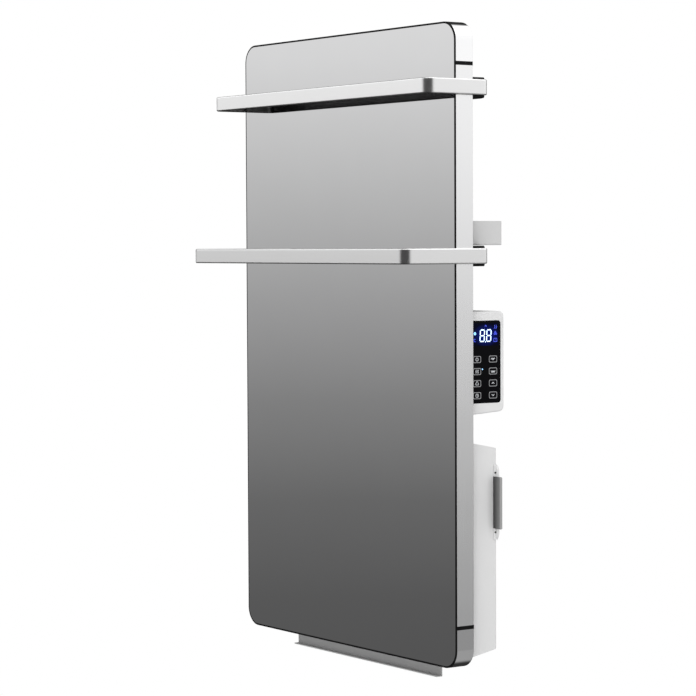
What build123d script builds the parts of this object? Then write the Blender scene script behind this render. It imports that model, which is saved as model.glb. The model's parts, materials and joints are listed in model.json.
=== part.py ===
from build123d import *

import os
from math import radians, sin

# Wall-hung electric towel warmer: a mirror-glass heating panel in a metal frame, two towel bars
# bent round its sides, a touch control box and a fan heater box behind it, and a steel wall rail.
#
# Frame: X to the right as seen from the front, Y into the wall, Z up. The origin is the middle of
# the wall rail's screw holes, on the wall. The front faces -Y, so a distance d in front of the
# wall is Y = -d. Heights are given above the panel's lower edge and turned into Z by up().
# All sizes are in millimetres.

os.makedirs("parts", exist_ok=True)

# Panel
panel_width = 600.0
panel_height = 1000.0
panel_depth = 34.0
panel_corner_radius = 30.0
wall_gap = 71.0  # from the panel's rear edge to the wall

# Clearances
seat = 0.3  # pieces that rest near each other without touching
snug = 0.1  # pieces pushed into a pocket
running = 0.05  # radial clearance of a turning pin or shaft
pressed = 0.02  # radial clearance of a fixed pin
cut_overrun = 1.0  # cuts run past the skin by this much

# Frame ring, made of two side profiles, two end caps and four joint strips
frame_wall = 1.8
frame_flange = 14.0
frame_edge_radius = 0.8
frame_front_setback = 1.5  # the gasket's lip covers the frame's front edge by this much
end_cap_leg = 62.0
joint_strip_height = 6.0
joint_tongue_thickness = 3.0
joint_tongue_reach = 15.0

# Glass and what lies behind it
glass_thickness = 4.0
glass_bevel_width = 1.6
glass_bevel_depth = 0.5
gasket_width = 2.4
gasket_bed_width = 13.0
gasket_bed_thickness = 1.5
film_thickness = 0.7
film_margin = 22.0
insulation_thickness = 16.0
insulation_margin = 18.0
cover_recess = 6.0  # the rear cover lies this far inside the frame's rear edge
cover_thickness = 1.2
cover_edge_gap = 0.5

# Towel bars
bar_height = 24.0
bar_thickness = 6.0
bar_edge_radius = 2.0
bar_side_gap = 2.0
bar_front_radius = 15.0
bar_rear_radius = 10.0
bar_return_length = 70.0
bar_return_clearance = 20.0  # from the panel's rear edge to the return leg
upper_bar_below_top = 101.0
upper_bar_height = panel_height - upper_bar_below_top
upper_bar_reach = 60.0
lower_bar_height = 639.5
lower_bar_reach = 104.0

# Bar clamps
clamp_length = 65.0
clamp_height = 32.0
clamp_inset = 3.0
clamp_cap_length = 44.0
clamp_cap_thickness = 3.5
clamp_shoulder = 1.3  # the bar stands this far out of the base's groove
clamp_corner_radius = 3.0
clamp_screw_pitch = 34.0

# Wall rail, hooks and lower bracket
rail_above_lower_bar = 35.5  # from the lower bar's middle to the rail's, clear of the clamps
rail_height = lower_bar_height + rail_above_lower_bar
rail_length = 560.0
rail_tall = 37.5
rail_reach = 59.0
sheet_steel = 2.0
rail_outer_hole_pitch = 440.0
rail_inner_hole_pitch = 160.0
wall_screw_hole_radius = 2.75
driver_hole_radius = 8.0
hook_spacing = 360.0
hook_width = 40.0
hook_tail = 16.0
hook_foot = 30.0
hook_screw_above_edge = 6.0
bracket_width = 120.0
bracket_leg = 31.0
bracket_drop = 32.0
bracket_hole_pitch = 90.0
bracket_hole_above_edge = 12.0
bracket_top_height = 14.0
lock_screw_from_wall = 21.0
lock_head_radius = 6.0
lock_head_thickness = 5.0
lock_grips = 12
lock_grip_radius = 0.7
lock_shank = 9.0

# Control box
control_side_inset = 13.0
control_width = 120.0
control_wall_gap = 1.0
control_foot = 392.0
control_head = 553.3
control_foot_rise = 5.0
control_corner_radius = 9.0
control_wall = 2.5
bezel_depth = 8.0
bezel_face = 3.0
bezel_edge_radius = 2.2
touch_glass_depth = 62.0
touch_glass_height = 128.6
touch_glass_radius = 5.0
touch_glass_thickness = 1.5
touch_glass_bevel = 0.25
touch_glass_from_wall = 7.6
touch_glass_above_foot = 18.4
touch_glass_foot = control_foot + touch_glass_above_foot
display_width = 40.0
display_height = 34.0
display_thickness = 7.0
display_rim = 2.0  # the bezel covers the display by this much
display_below_head = 38.3
display_middle = control_head - display_below_head
board_thickness = 1.6
control_board_depth = 56.0
control_board_height = 118.0
control_board_post_inset = 4.0
control_board_post_radius = 2.0
power_board_width = 78.0
power_board_height = 116.0
power_board_standoff = 5.5
power_board_from_side = 14.0
power_board_above_middle = 2.0
power_board_post_inset = 5.0
power_board_post_below_edge = 22.0
power_board_post_radius = 2.5
relay_count = 3
relay_width = 19.0
relay_tall = 15.0
relay_high = 16.0
relay_spacing = 5.0
relay_above_middle = 20.0
terminal_count = 5
terminal_pitch = 8.0
terminal_wire_radius = 1.8
terminal_wire_depth = 9.0
terminal_wire_above_board = 6.0
terminal_above_foot = 32.0
terminal_tall = 14.0
terminal_deep = 16.0
gland_bore_radius = 4.0
gland_wall = 3.0
gland_length = 22.0
gland_inside = 8.0
gland_nut_sides = 6
gland_nut_wall = 6.0
gland_nut_thickness = 5.0
gland_lock_nut_thickness = 4.0
gland_dome_wall = 4.6
gland_dome_edge_radius = 1.5
gland_above_foot = 36.0
gland_height = control_foot + gland_above_foot
gland_from_wall = 40.0
switch_below_head = 53.3
switch_height = control_head - switch_below_head
switch_from_wall = 40.0
switch_body_tall = 24.0
switch_body_deep = 17.0
switch_body_long = 20.0
switch_flange = 1.5
switch_flange_lap = 2.0
switch_well = 11.0
rocker_tall = 16.0
rocker_deep = 10.0
rocker_tilt = 9.0
rocker_pin_radius = 1.2
rocker_pin_reach = 1.6
rocker_pin_hole_reach = 2.0
rocker_pivot_depth = 3.0
rocker_crest = 3.4  # its two ends stand this far out of the box's side
rocker_dip = 1.8
rocker_root = 5.0
rocker_root_share = 0.3
rocker_edge_radius = 0.5
rocker_end_gap = 1.7
rocker_side_gap = 0.4

# Fan heater box
fan_side_inset = 14.0
fan_wall_gap = 15.0
fan_foot_front = 12.3
fan_foot_rear = 23.8
fan_head_front = 351.6
fan_head_rear = 339.2
fan_wall = 2.5
fan_rear_wall = 2.0
fan_edge_radius = 3.5
outlet_half_length = 200.0
outlet_from_wall = 34.0
outlet_depth = 35.0
outlet_rib_pitch = 10.0
outlet_slot = 8.0
outlet_rim = 3.0
outlet_lap = 2.0
grille_wall = 2.0
grille_flange = 1.2
grille_lap = 2.5
intake_low_x = -150.0
intake_high_x = 250.0
intake_foot = 210.0
intake_head = 300.0
intake_bar_pitch = 8.0
intake_slot = 5.0
intake_rim = 8.0
scoop_middle = 243.5
scoop_reach = 27.0
scoop_half_height = 45.5
scoop_depth = 8.0
scoop_floor_share = 0.45
scoop_overrun = 2.0
scoop_last_turn = 78
scoop_turn_step = 12
pad_half_width = 20.0
pad_inset = 1.0
pad_front = 28.0
bumper_radius = 10.0
bumper_edge_radius = 1.5
bumper_spacing = 460.0
bumper_height = 60.0

# Pull-out dust filter
filter_foot = 197.0
filter_tall = 114.7
filter_thickness = 3.0
filter_length = 435.0
filter_inset = 5.0  # from the box's side to the filter frame's end
filter_border = 6.0
filter_windows = 4
filter_mesh_thickness = 0.6
filter_guide = 2.0
filter_guide_lip = 7.0
filter_guide_spare = 4.0
filter_cap_thickness = 2.7
filter_cap_lap = 1.8
filter_cap_rear_gap = 0.2
filter_cap_corner_radius = 2.0
filter_ridge = 4.0
filter_ridge_sunk = 0.5
filter_ridge_inset = 1.0
filter_ridge_turn = 12.0
tab_foot = 213.6
tab_tall = 81.4
tab_reach = 20.5  # beyond the box's side
tab_sunk = 2.0  # its root lies this far inside the box's side
tab_thickness = 3.0
tab_curl_radius = 2.6
tab_lip = 2.2
tab_lip_thickness = 2.0
tab_lip_root = 4.2
tab_corner_radius = 1.5
tab_screw_radius = 0.8
tab_screw_length = 5.2
tab_screw_hole_depth = 5.7
tab_screw_from_tab = 6.0

# Cross-flow fan
wheel_radius = 20.0
wheel_length = 380.0
wheel_from_wall = 48.0
wheel_height = 250.0
wheel_blades = 24
blade_width = 6.4
blade_thickness = 0.9
blade_lean = 32.0
blade_middle_below_rim = 3.6
wheel_discs = 5
wheel_disc = 1.2
wheel_disc_ring = 8.0
hub_length = 8.0
hub_wall = 4.0
shaft_radius = 3.0
shaft_end = 3.0
motor_radius = 22.0
motor_length = 32.0
motor_edge_radius = 3.0
motor_end_wall = 6.0
motor_shaft_gap = 1.0
motor_screw_inset = 6.0
motor_screw_depth = 4.0
duct_wall = 2.0
duct_end_plate = 2.0
duct_gap = 3.5
duct_above_grille = 0.5
duct_above_wheel = 4.0
duct_wrap_angle = 110.0
tongue_below_axis = 36.0
tongue_from_axis = 7.5
duct_shaft_gap = 2.0
bearing_radius = 7.0
bearing_length = 6.0
bearing_flange = 3.0
bearing_flange_thickness = 1.5
bearing_inner_reach = 1.0

# Heating element in the air duct
heater_foot = 70.0
heater_tall = 25.0
heater_half_length = 188.0
heater_fin = 0.6
heater_fin_pitch = 4.0
heater_tube = 2.6
heater_tubes = 3
heater_spare_depth = 1.0
heater_offset = 0.7
heater_holder_lap = 3.0
cutout_radius = 8.0
cutout_thickness = 6.0
cutout_above_heater = 25.0

# Outlet flap
flap_half_length = 205.0
flap_axis_from_wall = 61.5
flap_axis_height = 5.0
flap_lower_edge = -27.0
flap_thickness = 2.0
flap_lip = 8.5
flap_barrel_radius = 3.2
flap_pin_radius = 1.5
flap_lug = 3.0
flap_lug_gap = 2.0
flap_lug_half = 4.0
flap_pin_grip = 12.0
flap_pin_end = 1.0
flap_foot_share = 0.8
flap_corner_share = 0.6

# Screws
small_screw_radius = 1.45
small_head_radius = 3.0
large_screw_radius = 2.0
large_head_radius = 3.8
head_thickness = 1.6
head_taper = 20.0
screw_hole_gap = 0.12
screw_grip = 2.0  # screws stand this far out of the last sheet that they pass

# Distances from the wall and heights that several pieces share
panel_back = wall_gap
glass_front = wall_gap + panel_depth
glass_back = glass_front - glass_thickness
frame_front = glass_front - frame_front_setback
gasket_bed_back = glass_back - gasket_bed_thickness
front_flange_back = gasket_bed_back - frame_wall
cover_back = panel_back + cover_recess
cover_front = cover_back + cover_thickness
film_back = glass_back - film_thickness
panel_side = panel_width / 2
fan_side = panel_side - fan_side_inset
control_side = panel_side - control_side_inset
control_inner_side = control_side - control_width
bezel_back = control_side - bezel_depth


def up(height):
    """Z of a height given above the panel's lower edge."""
    return height - rail_height


panel_middle = up(panel_height / 2)


def from_wall(distance):
    """Plane parallel to the wall at this distance in front of it, facing the front."""
    return Plane.XZ.offset(distance)


def across(x):
    """Plane square to the panel's width, where local x is Y and local y is Z."""
    return Plane.YZ.offset(x)


def save(piece, name):
    """Label one finished piece and write its file."""
    piece.label = name
    export_step(piece, f"parts/{name}.step")


smallest_corner_radius = 4.0


def panel_outline(inset, mode=Mode.ADD):
    """Rounded rectangle that runs this far inside the panel's outline."""
    RectangleRounded(
        panel_width - 2 * inset,
        panel_height - 2 * inset,
        max(panel_corner_radius - inset, smallest_corner_radius),
        mode=mode,
    )


def panel_ring(outer_inset, inner_inset):
    """Flat ring between two insets of the panel's outline."""
    with Locations((0, panel_middle)):
        panel_outline(outer_inset)
        panel_outline(inner_inset, mode=Mode.SUBTRACT)


def side_polygon(*points):
    """Polygon given as (distance from the wall, height) pairs, on an across() plane."""
    Polygon(*[(-distance, up(height)) for distance, height in points], align=None)


# Screw positions, as (X, Z)
cover_screw_inset = 8.0
cover_screws_end_pitch = 190.0
cover_screw_above_clamp = 29.5
cover_screw_below_clamp = 15.25
cover_screw_shares = (0.13, 0.315, 0.5)  # of the panel's height, below the lower bar
cover_screw_x = panel_side - cover_screw_inset
cover_screw_z = panel_height / 2 - cover_screw_inset
cover_screw_heights = [panel_height * share for share in cover_screw_shares] + [
    lower_bar_height + clamp_height / 2 + cover_screw_above_clamp,
    upper_bar_height - clamp_height / 2 - cover_screw_below_clamp,
]
cover_screw_points = [
    (side * cover_screw_x, up(height)) for side in (-1, 1) for height in cover_screw_heights
] + [
    (step * cover_screws_end_pitch, panel_middle + end * cover_screw_z)
    for end in (-1, 1)
    for step in (-1, 0, 1)
]

clamp_outer_x = panel_side - clamp_inset
clamp_middle_x = clamp_outer_x - clamp_length / 2
clamp_screw_points = [
    (side * (clamp_middle_x + step * clamp_screw_pitch / 2), up(height))
    for height in (upper_bar_height, lower_bar_height)
    for side in (-1, 1)
    for step in (-1, 1)
]

hook_screw_points = [
    (side * hook_spacing / 2 + step * hook_width / 4, -hook_foot / 2 + hook_screw_above_edge)
    for side in (-1, 1)
    for step in (-1, 1)
]

post_radius = 5.5
box_screw_seat = 17.5  # the screw heads rest at this distance from the wall
fan_post_inset = 18.0
fan_post_above_foot = 36.2
fan_post_below_head = 13.2
fan_post_x = fan_side - fan_post_inset
fan_post_heights = (fan_foot_rear + fan_post_above_foot, fan_head_rear - fan_post_below_head)
fan_post_points = [(side * fan_post_x, up(height)) for side in (-1, 1) for height in fan_post_heights]
control_post_inset = 9.0
control_post_above_foot = 16.0
control_post_below_head = 12.0
control_post_points = [
    (x, up(height))
    for x in (control_inner_side + control_post_inset, bezel_back - control_post_inset)
    for height in (control_foot + control_post_above_foot, control_head - control_post_below_head)
]
link_cable_from_box_side = 43.0
link_cable_x = control_inner_side + link_cable_from_box_side
link_cable_from_wall = 68.0
link_cable_radius = 3.0
link_hole_radius = 4.5
thermostat_wire_x = -220.0
thermostat_wire_above_foot = 97.7
panel_wire_holes = [
    (control_inner_side + control_width / 3, up((control_foot + control_head) / 2)),
    (thermostat_wire_x, up(fan_foot_rear + thermostat_wire_above_foot)),
]


# Mirror glass with a bevelled front edge
with BuildPart() as mirror_glass:
    with BuildSketch(from_wall(glass_back)):
        with Locations((0, panel_middle)):
            panel_outline(gasket_width + snug)
    extrude(amount=glass_thickness)
    chamfer(
        mirror_glass.faces().sort_by(Axis.Y)[0].edges(),
        length=glass_bevel_depth,
        length2=glass_bevel_width,
        reference=mirror_glass.faces().sort_by(Axis.Y)[0],
    )
save(mirror_glass.part, "mirror_glass")

# Black gasket: a lip over the frame's front edge, a collar round the glass and a bed behind it
with BuildPart() as edge_gasket:
    with BuildSketch(from_wall(frame_front)):
        panel_ring(0, gasket_width)
    extrude(amount=frame_front_setback)
    with BuildSketch(from_wall(gasket_bed_back)):
        panel_ring(frame_wall + snug, gasket_width)
    extrude(amount=glass_front - gasket_bed_back)
    with BuildSketch(from_wall(gasket_bed_back)):
        panel_ring(frame_wall + snug, gasket_bed_width)
    extrude(amount=gasket_bed_thickness)
    fillet(edge_gasket.faces().sort_by(Axis.Y)[0].outer_wire().edges(), frame_edge_radius)
save(edge_gasket.part, "edge_gasket")

# Heating film bonded to the back of the glass
with BuildPart() as heating_film:
    with BuildSketch(from_wall(film_back)):
        with Locations((0, panel_middle)):
            panel_outline(film_margin)
    extrude(amount=film_thickness)
save(heating_film.part, "heating_film")

# Insulation board, with a pocket for the panel's thermostat
thermostat_x = -60.0
thermostat_height = 150.0
thermostat_radius = 9.0
thermostat_thickness = 8.0
insulation_back = film_back - seat - insulation_thickness
with BuildPart() as insulation_board:
    with BuildSketch(from_wall(insulation_back)):
        with Locations((0, panel_middle)):
            panel_outline(insulation_margin)
        with Locations((thermostat_x, up(thermostat_height))):
            Circle(thermostat_radius + 2 * seat, mode=Mode.SUBTRACT)
    extrude(amount=insulation_thickness)
save(insulation_board.part, "insulation_board")

with BuildPart() as panel_thermostat:
    with BuildSketch(from_wall(film_back - thermostat_thickness)):
        with Locations((thermostat_x, up(thermostat_height))):
            Circle(thermostat_radius)
    extrude(amount=thermostat_thickness)
save(panel_thermostat.part, "panel_thermostat")

# Rear cover with its screw and cable holes
with BuildPart() as rear_cover:
    with BuildSketch(from_wall(cover_back)):
        with Locations((0, panel_middle)):
            panel_outline(frame_wall + cover_edge_gap)
        with Locations(*cover_screw_points, *hook_screw_points):
            Circle(small_screw_radius + screw_hole_gap, mode=Mode.SUBTRACT)
        with Locations(*clamp_screw_points, *fan_post_points, *control_post_points):
            Circle(large_screw_radius + screw_hole_gap, mode=Mode.SUBTRACT)
        with Locations(*panel_wire_holes):
            Circle(link_hole_radius, mode=Mode.SUBTRACT)
    extrude(amount=cover_thickness)
save(rear_cover.part, "rear_cover")


def frame_piece(low_x, high_x, low_height, high_height):
    """Part of the frame ring that lies inside the given range of X and height."""
    with BuildPart() as ring:
        with BuildSketch(from_wall(panel_back)):
            panel_ring(0, frame_wall)
        extrude(amount=frame_front - panel_back)
        rear_loop = ring.faces().sort_by(Axis.Y)[-1].outer_wire().edges()
        fillet(rear_loop, frame_edge_radius)
        for flange_back in (cover_front, front_flange_back):
            with BuildSketch(from_wall(flange_back)):
                panel_ring(frame_wall / 2, frame_flange)
                if flange_back == cover_front:
                    with Locations(*cover_screw_points):
                        Circle(small_screw_radius + screw_hole_gap, mode=Mode.SUBTRACT)
            extrude(amount=frame_wall)
        with BuildSketch(from_wall(0)):
            with Locations(((low_x + high_x) / 2, up((low_height + high_height) / 2))):
                Rectangle(high_x - low_x, high_height - low_height)
        extrude(amount=2 * glass_front, mode=Mode.INTERSECT)
    return ring.part


strip_foot = end_cap_leg
strip_head = end_cap_leg + joint_strip_height
beyond = panel_side + cut_overrun
save(frame_piece(0, beyond, strip_head, panel_height - strip_head), "frame_right_profile")
save(frame_piece(-beyond, 0, strip_head, panel_height - strip_head), "frame_left_profile")
save(
    frame_piece(-beyond, beyond, panel_height - strip_foot, panel_height + cut_overrun),
    "frame_top_cap",
)
save(frame_piece(-beyond, beyond, -cut_overrun, strip_foot), "frame_bottom_cap")

# Black joint strips between the side profiles and the end caps, with tongues inside both
tongue_back = cover_front + frame_wall + seat
tongue_front = front_flange_back - seat
with BuildPart() as joint_strips:
    for height in (strip_foot, panel_height - strip_head):
        for side in (-1, 1):
            with BuildSketch(Plane.XY.offset(up(height))):
                with Locations((side * (panel_side - frame_wall / 2), -(panel_back + frame_front) / 2)):
                    Rectangle(frame_wall, frame_front - panel_back)
                tongue_middle = -(tongue_back + tongue_front) / 2
                with Locations((side * (panel_side - frame_wall - snug), tongue_middle)):
                    Rectangle(frame_wall, tongue_front - tongue_back)
            extrude(amount=joint_strip_height)
            with BuildSketch(Plane.XY.offset(up(height - joint_tongue_reach))):
                tongue_inset = frame_wall + snug + joint_tongue_thickness / 2
                with Locations((side * (panel_side - tongue_inset), tongue_middle)):
                    Rectangle(joint_tongue_thickness, tongue_front - tongue_back)
            extrude(amount=joint_strip_height + 2 * joint_tongue_reach)
save(joint_strips.part, "joint_strips")


def screw(head_plane, length, shank_radius, head_radius):
    """One pan-head screw whose head lies behind the plane and whose shank points along it."""
    with BuildSketch(-head_plane) as head:
        Circle(head_radius)
    extrude(head.sketch, amount=head_thickness, taper=head_taper)
    with BuildSketch(head_plane) as shank:
        Circle(shank_radius)
    extrude(shank.sketch, amount=length)


def facing_front(point, distance):
    """Plane facing the front at this (X, Z) point and distance from the wall."""
    return Plane(origin=(point[0], -distance, point[1]), x_dir=(1, 0, 0), z_dir=(0, -1, 0))


def screw_group(points, head_from_wall, length, shank_radius, head_radius):
    """Identical screws that point to the front, with their heads towards the wall."""
    with BuildPart() as group:
        for point in points:
            screw(facing_front(point, head_from_wall), length, shank_radius, head_radius)
    return group.part


# Towel bars: flat bar bent twice at the front and twice behind the panel
bar_outer_x = panel_side + bar_side_gap + bar_thickness
return_back = panel_back - bar_return_clearance - bar_thickness
return_end_x = bar_outer_x - bar_return_length


def towel_bar(height, reach):
    """One bar whose front face stands this far in front of the glass."""
    half = bar_thickness / 2
    side = bar_outer_x - half
    front = glass_front + reach - half
    back = return_back + half
    inner = [bar_rear_radius - half, bar_front_radius - half]
    with BuildPart() as bar:
        with BuildLine(Plane.XY.offset(up(height))):
            FilletPolyline(
                (-return_end_x, -back),
                (-side, -back),
                (-side, -front),
                (side, -front),
                (side, -back),
                (return_end_x, -back),
                radius=[inner[0], inner[1], inner[1], inner[0]],
            )
        start = Plane(origin=(-return_end_x, -back, up(height)), x_dir=(0, 1, 0), z_dir=(-1, 0, 0))
        with BuildSketch(start):
            RectangleRounded(bar_thickness, bar_height, bar_edge_radius)
        sweep()
        holes = [point for point in clamp_screw_points if abs(point[1] - up(height)) < bar_height / 2]
        with BuildSketch(from_wall(return_back - cut_overrun)):
            with Locations(*holes):
                Circle(large_screw_radius + screw_hole_gap)
        extrude(amount=bar_thickness + 2 * cut_overrun, mode=Mode.SUBTRACT)
    return bar.part


save(towel_bar(upper_bar_height, upper_bar_reach), "towel_bar_upper")
save(towel_bar(lower_bar_height, lower_bar_reach), "towel_bar_lower")

# Clamps: a base with a groove for the bar's return leg, and a cap over the leg
cap_back = return_back - clamp_cap_thickness


def clamp_half(side, height, length, back, front, grooved):
    """Clamp base, grooved for the return leg, or clamp cap, on one side of the panel."""
    with BuildPart() as half:
        with BuildSketch(from_wall(back)):
            with Locations((side * clamp_middle_x, up(height))):
                RectangleRounded(length, clamp_height, clamp_corner_radius)
        extrude(amount=front - back)
        if grooved:
            with BuildSketch(from_wall(return_back - snug)):
                with Locations((side * clamp_middle_x, up(height))):
                    Rectangle(2 * length, bar_height + 2 * snug)
            extrude(amount=bar_thickness + snug, mode=Mode.SUBTRACT)
        own = [
            point
            for point in clamp_screw_points
            if abs(point[1] - up(height)) < bar_height / 2 and point[0] * side > 0
        ]
        with BuildSketch(from_wall(back)):
            with Locations(*own):
                Circle(large_screw_radius + screw_hole_gap)
        extrude(amount=front - back, mode=Mode.SUBTRACT)
    return half.part


for level, bar_middle in (("upper", upper_bar_height), ("lower", lower_bar_height)):
    for hand, side in (("left", -1), ("right", 1)):
        base_back = return_back + clamp_shoulder
        base = clamp_half(side, bar_middle, clamp_length, base_back, cover_back, True)
        save(base, f"clamp_base_{level}_{hand}")
        cap = clamp_half(side, bar_middle, clamp_cap_length, cap_back, return_back, False)
        save(cap, f"clamp_cap_{level}_{hand}")

clamp_screw_length = cover_front - cap_back + screw_grip
clamp_screws = screw_group(
    clamp_screw_points, cap_back, clamp_screw_length, large_screw_radius, large_head_radius
)
save(clamp_screws, "clamp_screws")

# Wall rail: a steel trough open at the top, closed at both ends
rail_hole_points = [
    (side * pitch / 2, 0)
    for pitch in (rail_outer_hole_pitch, rail_inner_hole_pitch)
    for side in (-1, 1)
]
with BuildPart() as wall_rail:
    with BuildSketch(from_wall(0)):
        Rectangle(rail_length, rail_tall)
    extrude(amount=rail_reach)
    fillet(wall_rail.edges().filter_by(Axis.Y).group_by(Axis.Z)[0], sheet_steel)
    with BuildSketch(from_wall(sheet_steel)):
        with Locations((0, sheet_steel)):
            Rectangle(rail_length - 2 * sheet_steel, rail_tall)
    extrude(amount=rail_reach - 2 * sheet_steel, mode=Mode.SUBTRACT)
    with BuildSketch(from_wall(0)):
        with Locations(*rail_hole_points):
            Circle(wall_screw_hole_radius)
    extrude(amount=sheet_steel, mode=Mode.SUBTRACT)
    with BuildSketch(from_wall(rail_reach - sheet_steel)):
        with Locations(*rail_hole_points):
            Circle(driver_hole_radius)
    extrude(amount=sheet_steel, mode=Mode.SUBTRACT)
save(wall_rail.part, "wall_rail")

# Hooks on the rear cover that hang over the rail's front wall
rail_top = rail_tall / 2
hook_leg_front = rail_reach - sheet_steel - seat


def hang_hook(side):
    """Steel hook: a foot on the rear cover, an arm over the rail's front wall, and a leg."""
    with BuildPart() as hook:
        with BuildSketch(across(side * hook_spacing / 2 - hook_width / 2)):
            Polygon(
                (-cover_back, -hook_foot / 2),
                (-cover_back, rail_top + sheet_steel),
                (-(hook_leg_front - sheet_steel), rail_top + sheet_steel),
                (-(hook_leg_front - sheet_steel), rail_top + sheet_steel - hook_tail),
                (-hook_leg_front, rail_top + sheet_steel - hook_tail),
                (-hook_leg_front, rail_top),
                (-(cover_back - sheet_steel), rail_top),
                (-(cover_back - sheet_steel), -hook_foot / 2),
                align=None,
            )
        extrude(amount=hook_width)
        own = [point for point in hook_screw_points if point[0] * side > 0]
        with BuildSketch(from_wall(cover_back - sheet_steel)):
            with Locations(*own):
                Circle(small_screw_radius + screw_hole_gap)
        extrude(amount=sheet_steel, mode=Mode.SUBTRACT)
    return hook.part


save(hang_hook(-1), "hang_hook_left")
save(hang_hook(1), "hang_hook_right")

# Lower wall bracket and the screw that locks the fan box to it
bracket_hole_z = up(bracket_top_height - bracket_drop + bracket_hole_above_edge)
with BuildPart() as lower_bracket:
    with BuildSketch(across(-bracket_width / 2)):
        side_polygon(
            (0, bracket_top_height - bracket_drop),
            (0, bracket_top_height),
            (bracket_leg, bracket_top_height),
            (bracket_leg, bracket_top_height - sheet_steel),
            (sheet_steel, bracket_top_height - sheet_steel),
            (sheet_steel, bracket_top_height - bracket_drop),
        )
    extrude(amount=bracket_width)
    with BuildSketch(from_wall(0)):
        with Locations(
            (-bracket_hole_pitch / 2, bracket_hole_z), (bracket_hole_pitch / 2, bracket_hole_z)
        ):
            Circle(wall_screw_hole_radius)
    extrude(amount=sheet_steel, mode=Mode.SUBTRACT)
    with BuildSketch(Plane.XY.offset(up(bracket_top_height - sheet_steel))):
        with Locations((0, -lock_screw_from_wall)):
            Circle(large_screw_radius + screw_hole_gap)
    extrude(amount=sheet_steel, mode=Mode.SUBTRACT)
save(lower_bracket.part, "lower_bracket")

with BuildPart() as lock_screw:
    with BuildSketch(Plane.XY.offset(up(bracket_top_height - sheet_steel))):
        with Locations((0, -lock_screw_from_wall)):
            Circle(lock_head_radius)
            with PolarLocations(lock_head_radius, lock_grips):
                Circle(lock_grip_radius, mode=Mode.SUBTRACT)
    extrude(amount=-lock_head_thickness)
    with BuildSketch(Plane.XY.offset(up(bracket_top_height - sheet_steel))):
        with Locations((0, -lock_screw_from_wall)):
            Circle(large_screw_radius)
    extrude(amount=lock_shank)
save(lock_screw.part, "lock_screw")


# Control box
def control_outline(inset):
    """Side outline of the control box, this far inside its outer skin."""
    front = cover_back - inset
    rear = control_wall_gap + inset
    side_polygon(
        (front, control_foot + inset),
        (front, control_head - inset),
        (rear, control_head - inset),
        (rear, control_foot + control_foot_rise + inset),
    )
    fillet(vertices().group_by(Axis.X)[-1], control_corner_radius - inset)


def posts(points, back, front):
    """Posts from a rear wall to the front, for long screws."""
    with BuildSketch(from_wall(back)) as section:
        with Locations(*points):
            Circle(post_radius)
    extrude(section.sketch, amount=front - back)


def post_holes(points, back, front):
    """Screw holes through the posts, wider at the rear for the screw heads."""
    with BuildSketch(from_wall(back)) as bore:
        with Locations(*points):
            Circle(large_screw_radius + screw_hole_gap)
    extrude(bore.sketch, amount=front - back, mode=Mode.SUBTRACT)
    with BuildSketch(from_wall(back)) as recess:
        with Locations(*points):
            Circle(large_head_radius + screw_hole_gap)
    extrude(recess.sketch, amount=box_screw_seat - back, mode=Mode.SUBTRACT)


power_board_back = control_wall_gap + control_wall + power_board_standoff
power_board_front = power_board_back + board_thickness
power_board_x = control_inner_side + power_board_from_side + power_board_width / 2
power_board_middle = (control_foot + control_head) / 2 + power_board_above_middle
power_board_posts = [
    (
        power_board_x + side * (power_board_width / 2 - power_board_post_inset),
        up(power_board_middle + end * (power_board_height / 2 - power_board_post_below_edge)),
    )
    for side in (-1, 1)
    for end in (-1, 1)
]

with BuildPart() as control_housing:
    with BuildSketch(across(control_inner_side)):
        control_outline(0)
    extrude(amount=bezel_back - control_inner_side)
    with BuildSketch(across(control_inner_side + control_wall)):
        control_outline(control_wall)
    extrude(amount=bezel_back - control_inner_side - control_wall, mode=Mode.SUBTRACT)
    posts(control_post_points, control_wall_gap + control_wall / 2, cover_back)
    with BuildSketch(from_wall(control_wall_gap + control_wall / 2)):
        with Locations(*power_board_posts):
            Circle(power_board_post_radius)
    extrude(amount=power_board_back - control_wall_gap - control_wall / 2)
    post_holes(control_post_points, control_wall_gap, cover_back)
    with BuildSketch(across(control_inner_side)):
        with Locations((-gland_from_wall, up(gland_height))):
            Circle(gland_bore_radius + gland_wall + snug)
        with Locations((-switch_from_wall, up(switch_height))):
            Rectangle(switch_body_deep + 2 * snug, switch_body_tall + 2 * snug)
    extrude(amount=control_wall, mode=Mode.SUBTRACT)
    with BuildSketch(Plane.XY.offset(up(control_foot - cut_overrun))):
        with Locations((link_cable_x, -link_cable_from_wall)):
            Circle(link_hole_radius)
    extrude(amount=control_wall + 3 * cut_overrun, mode=Mode.SUBTRACT)
save(control_housing.part, "control_housing")

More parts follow.
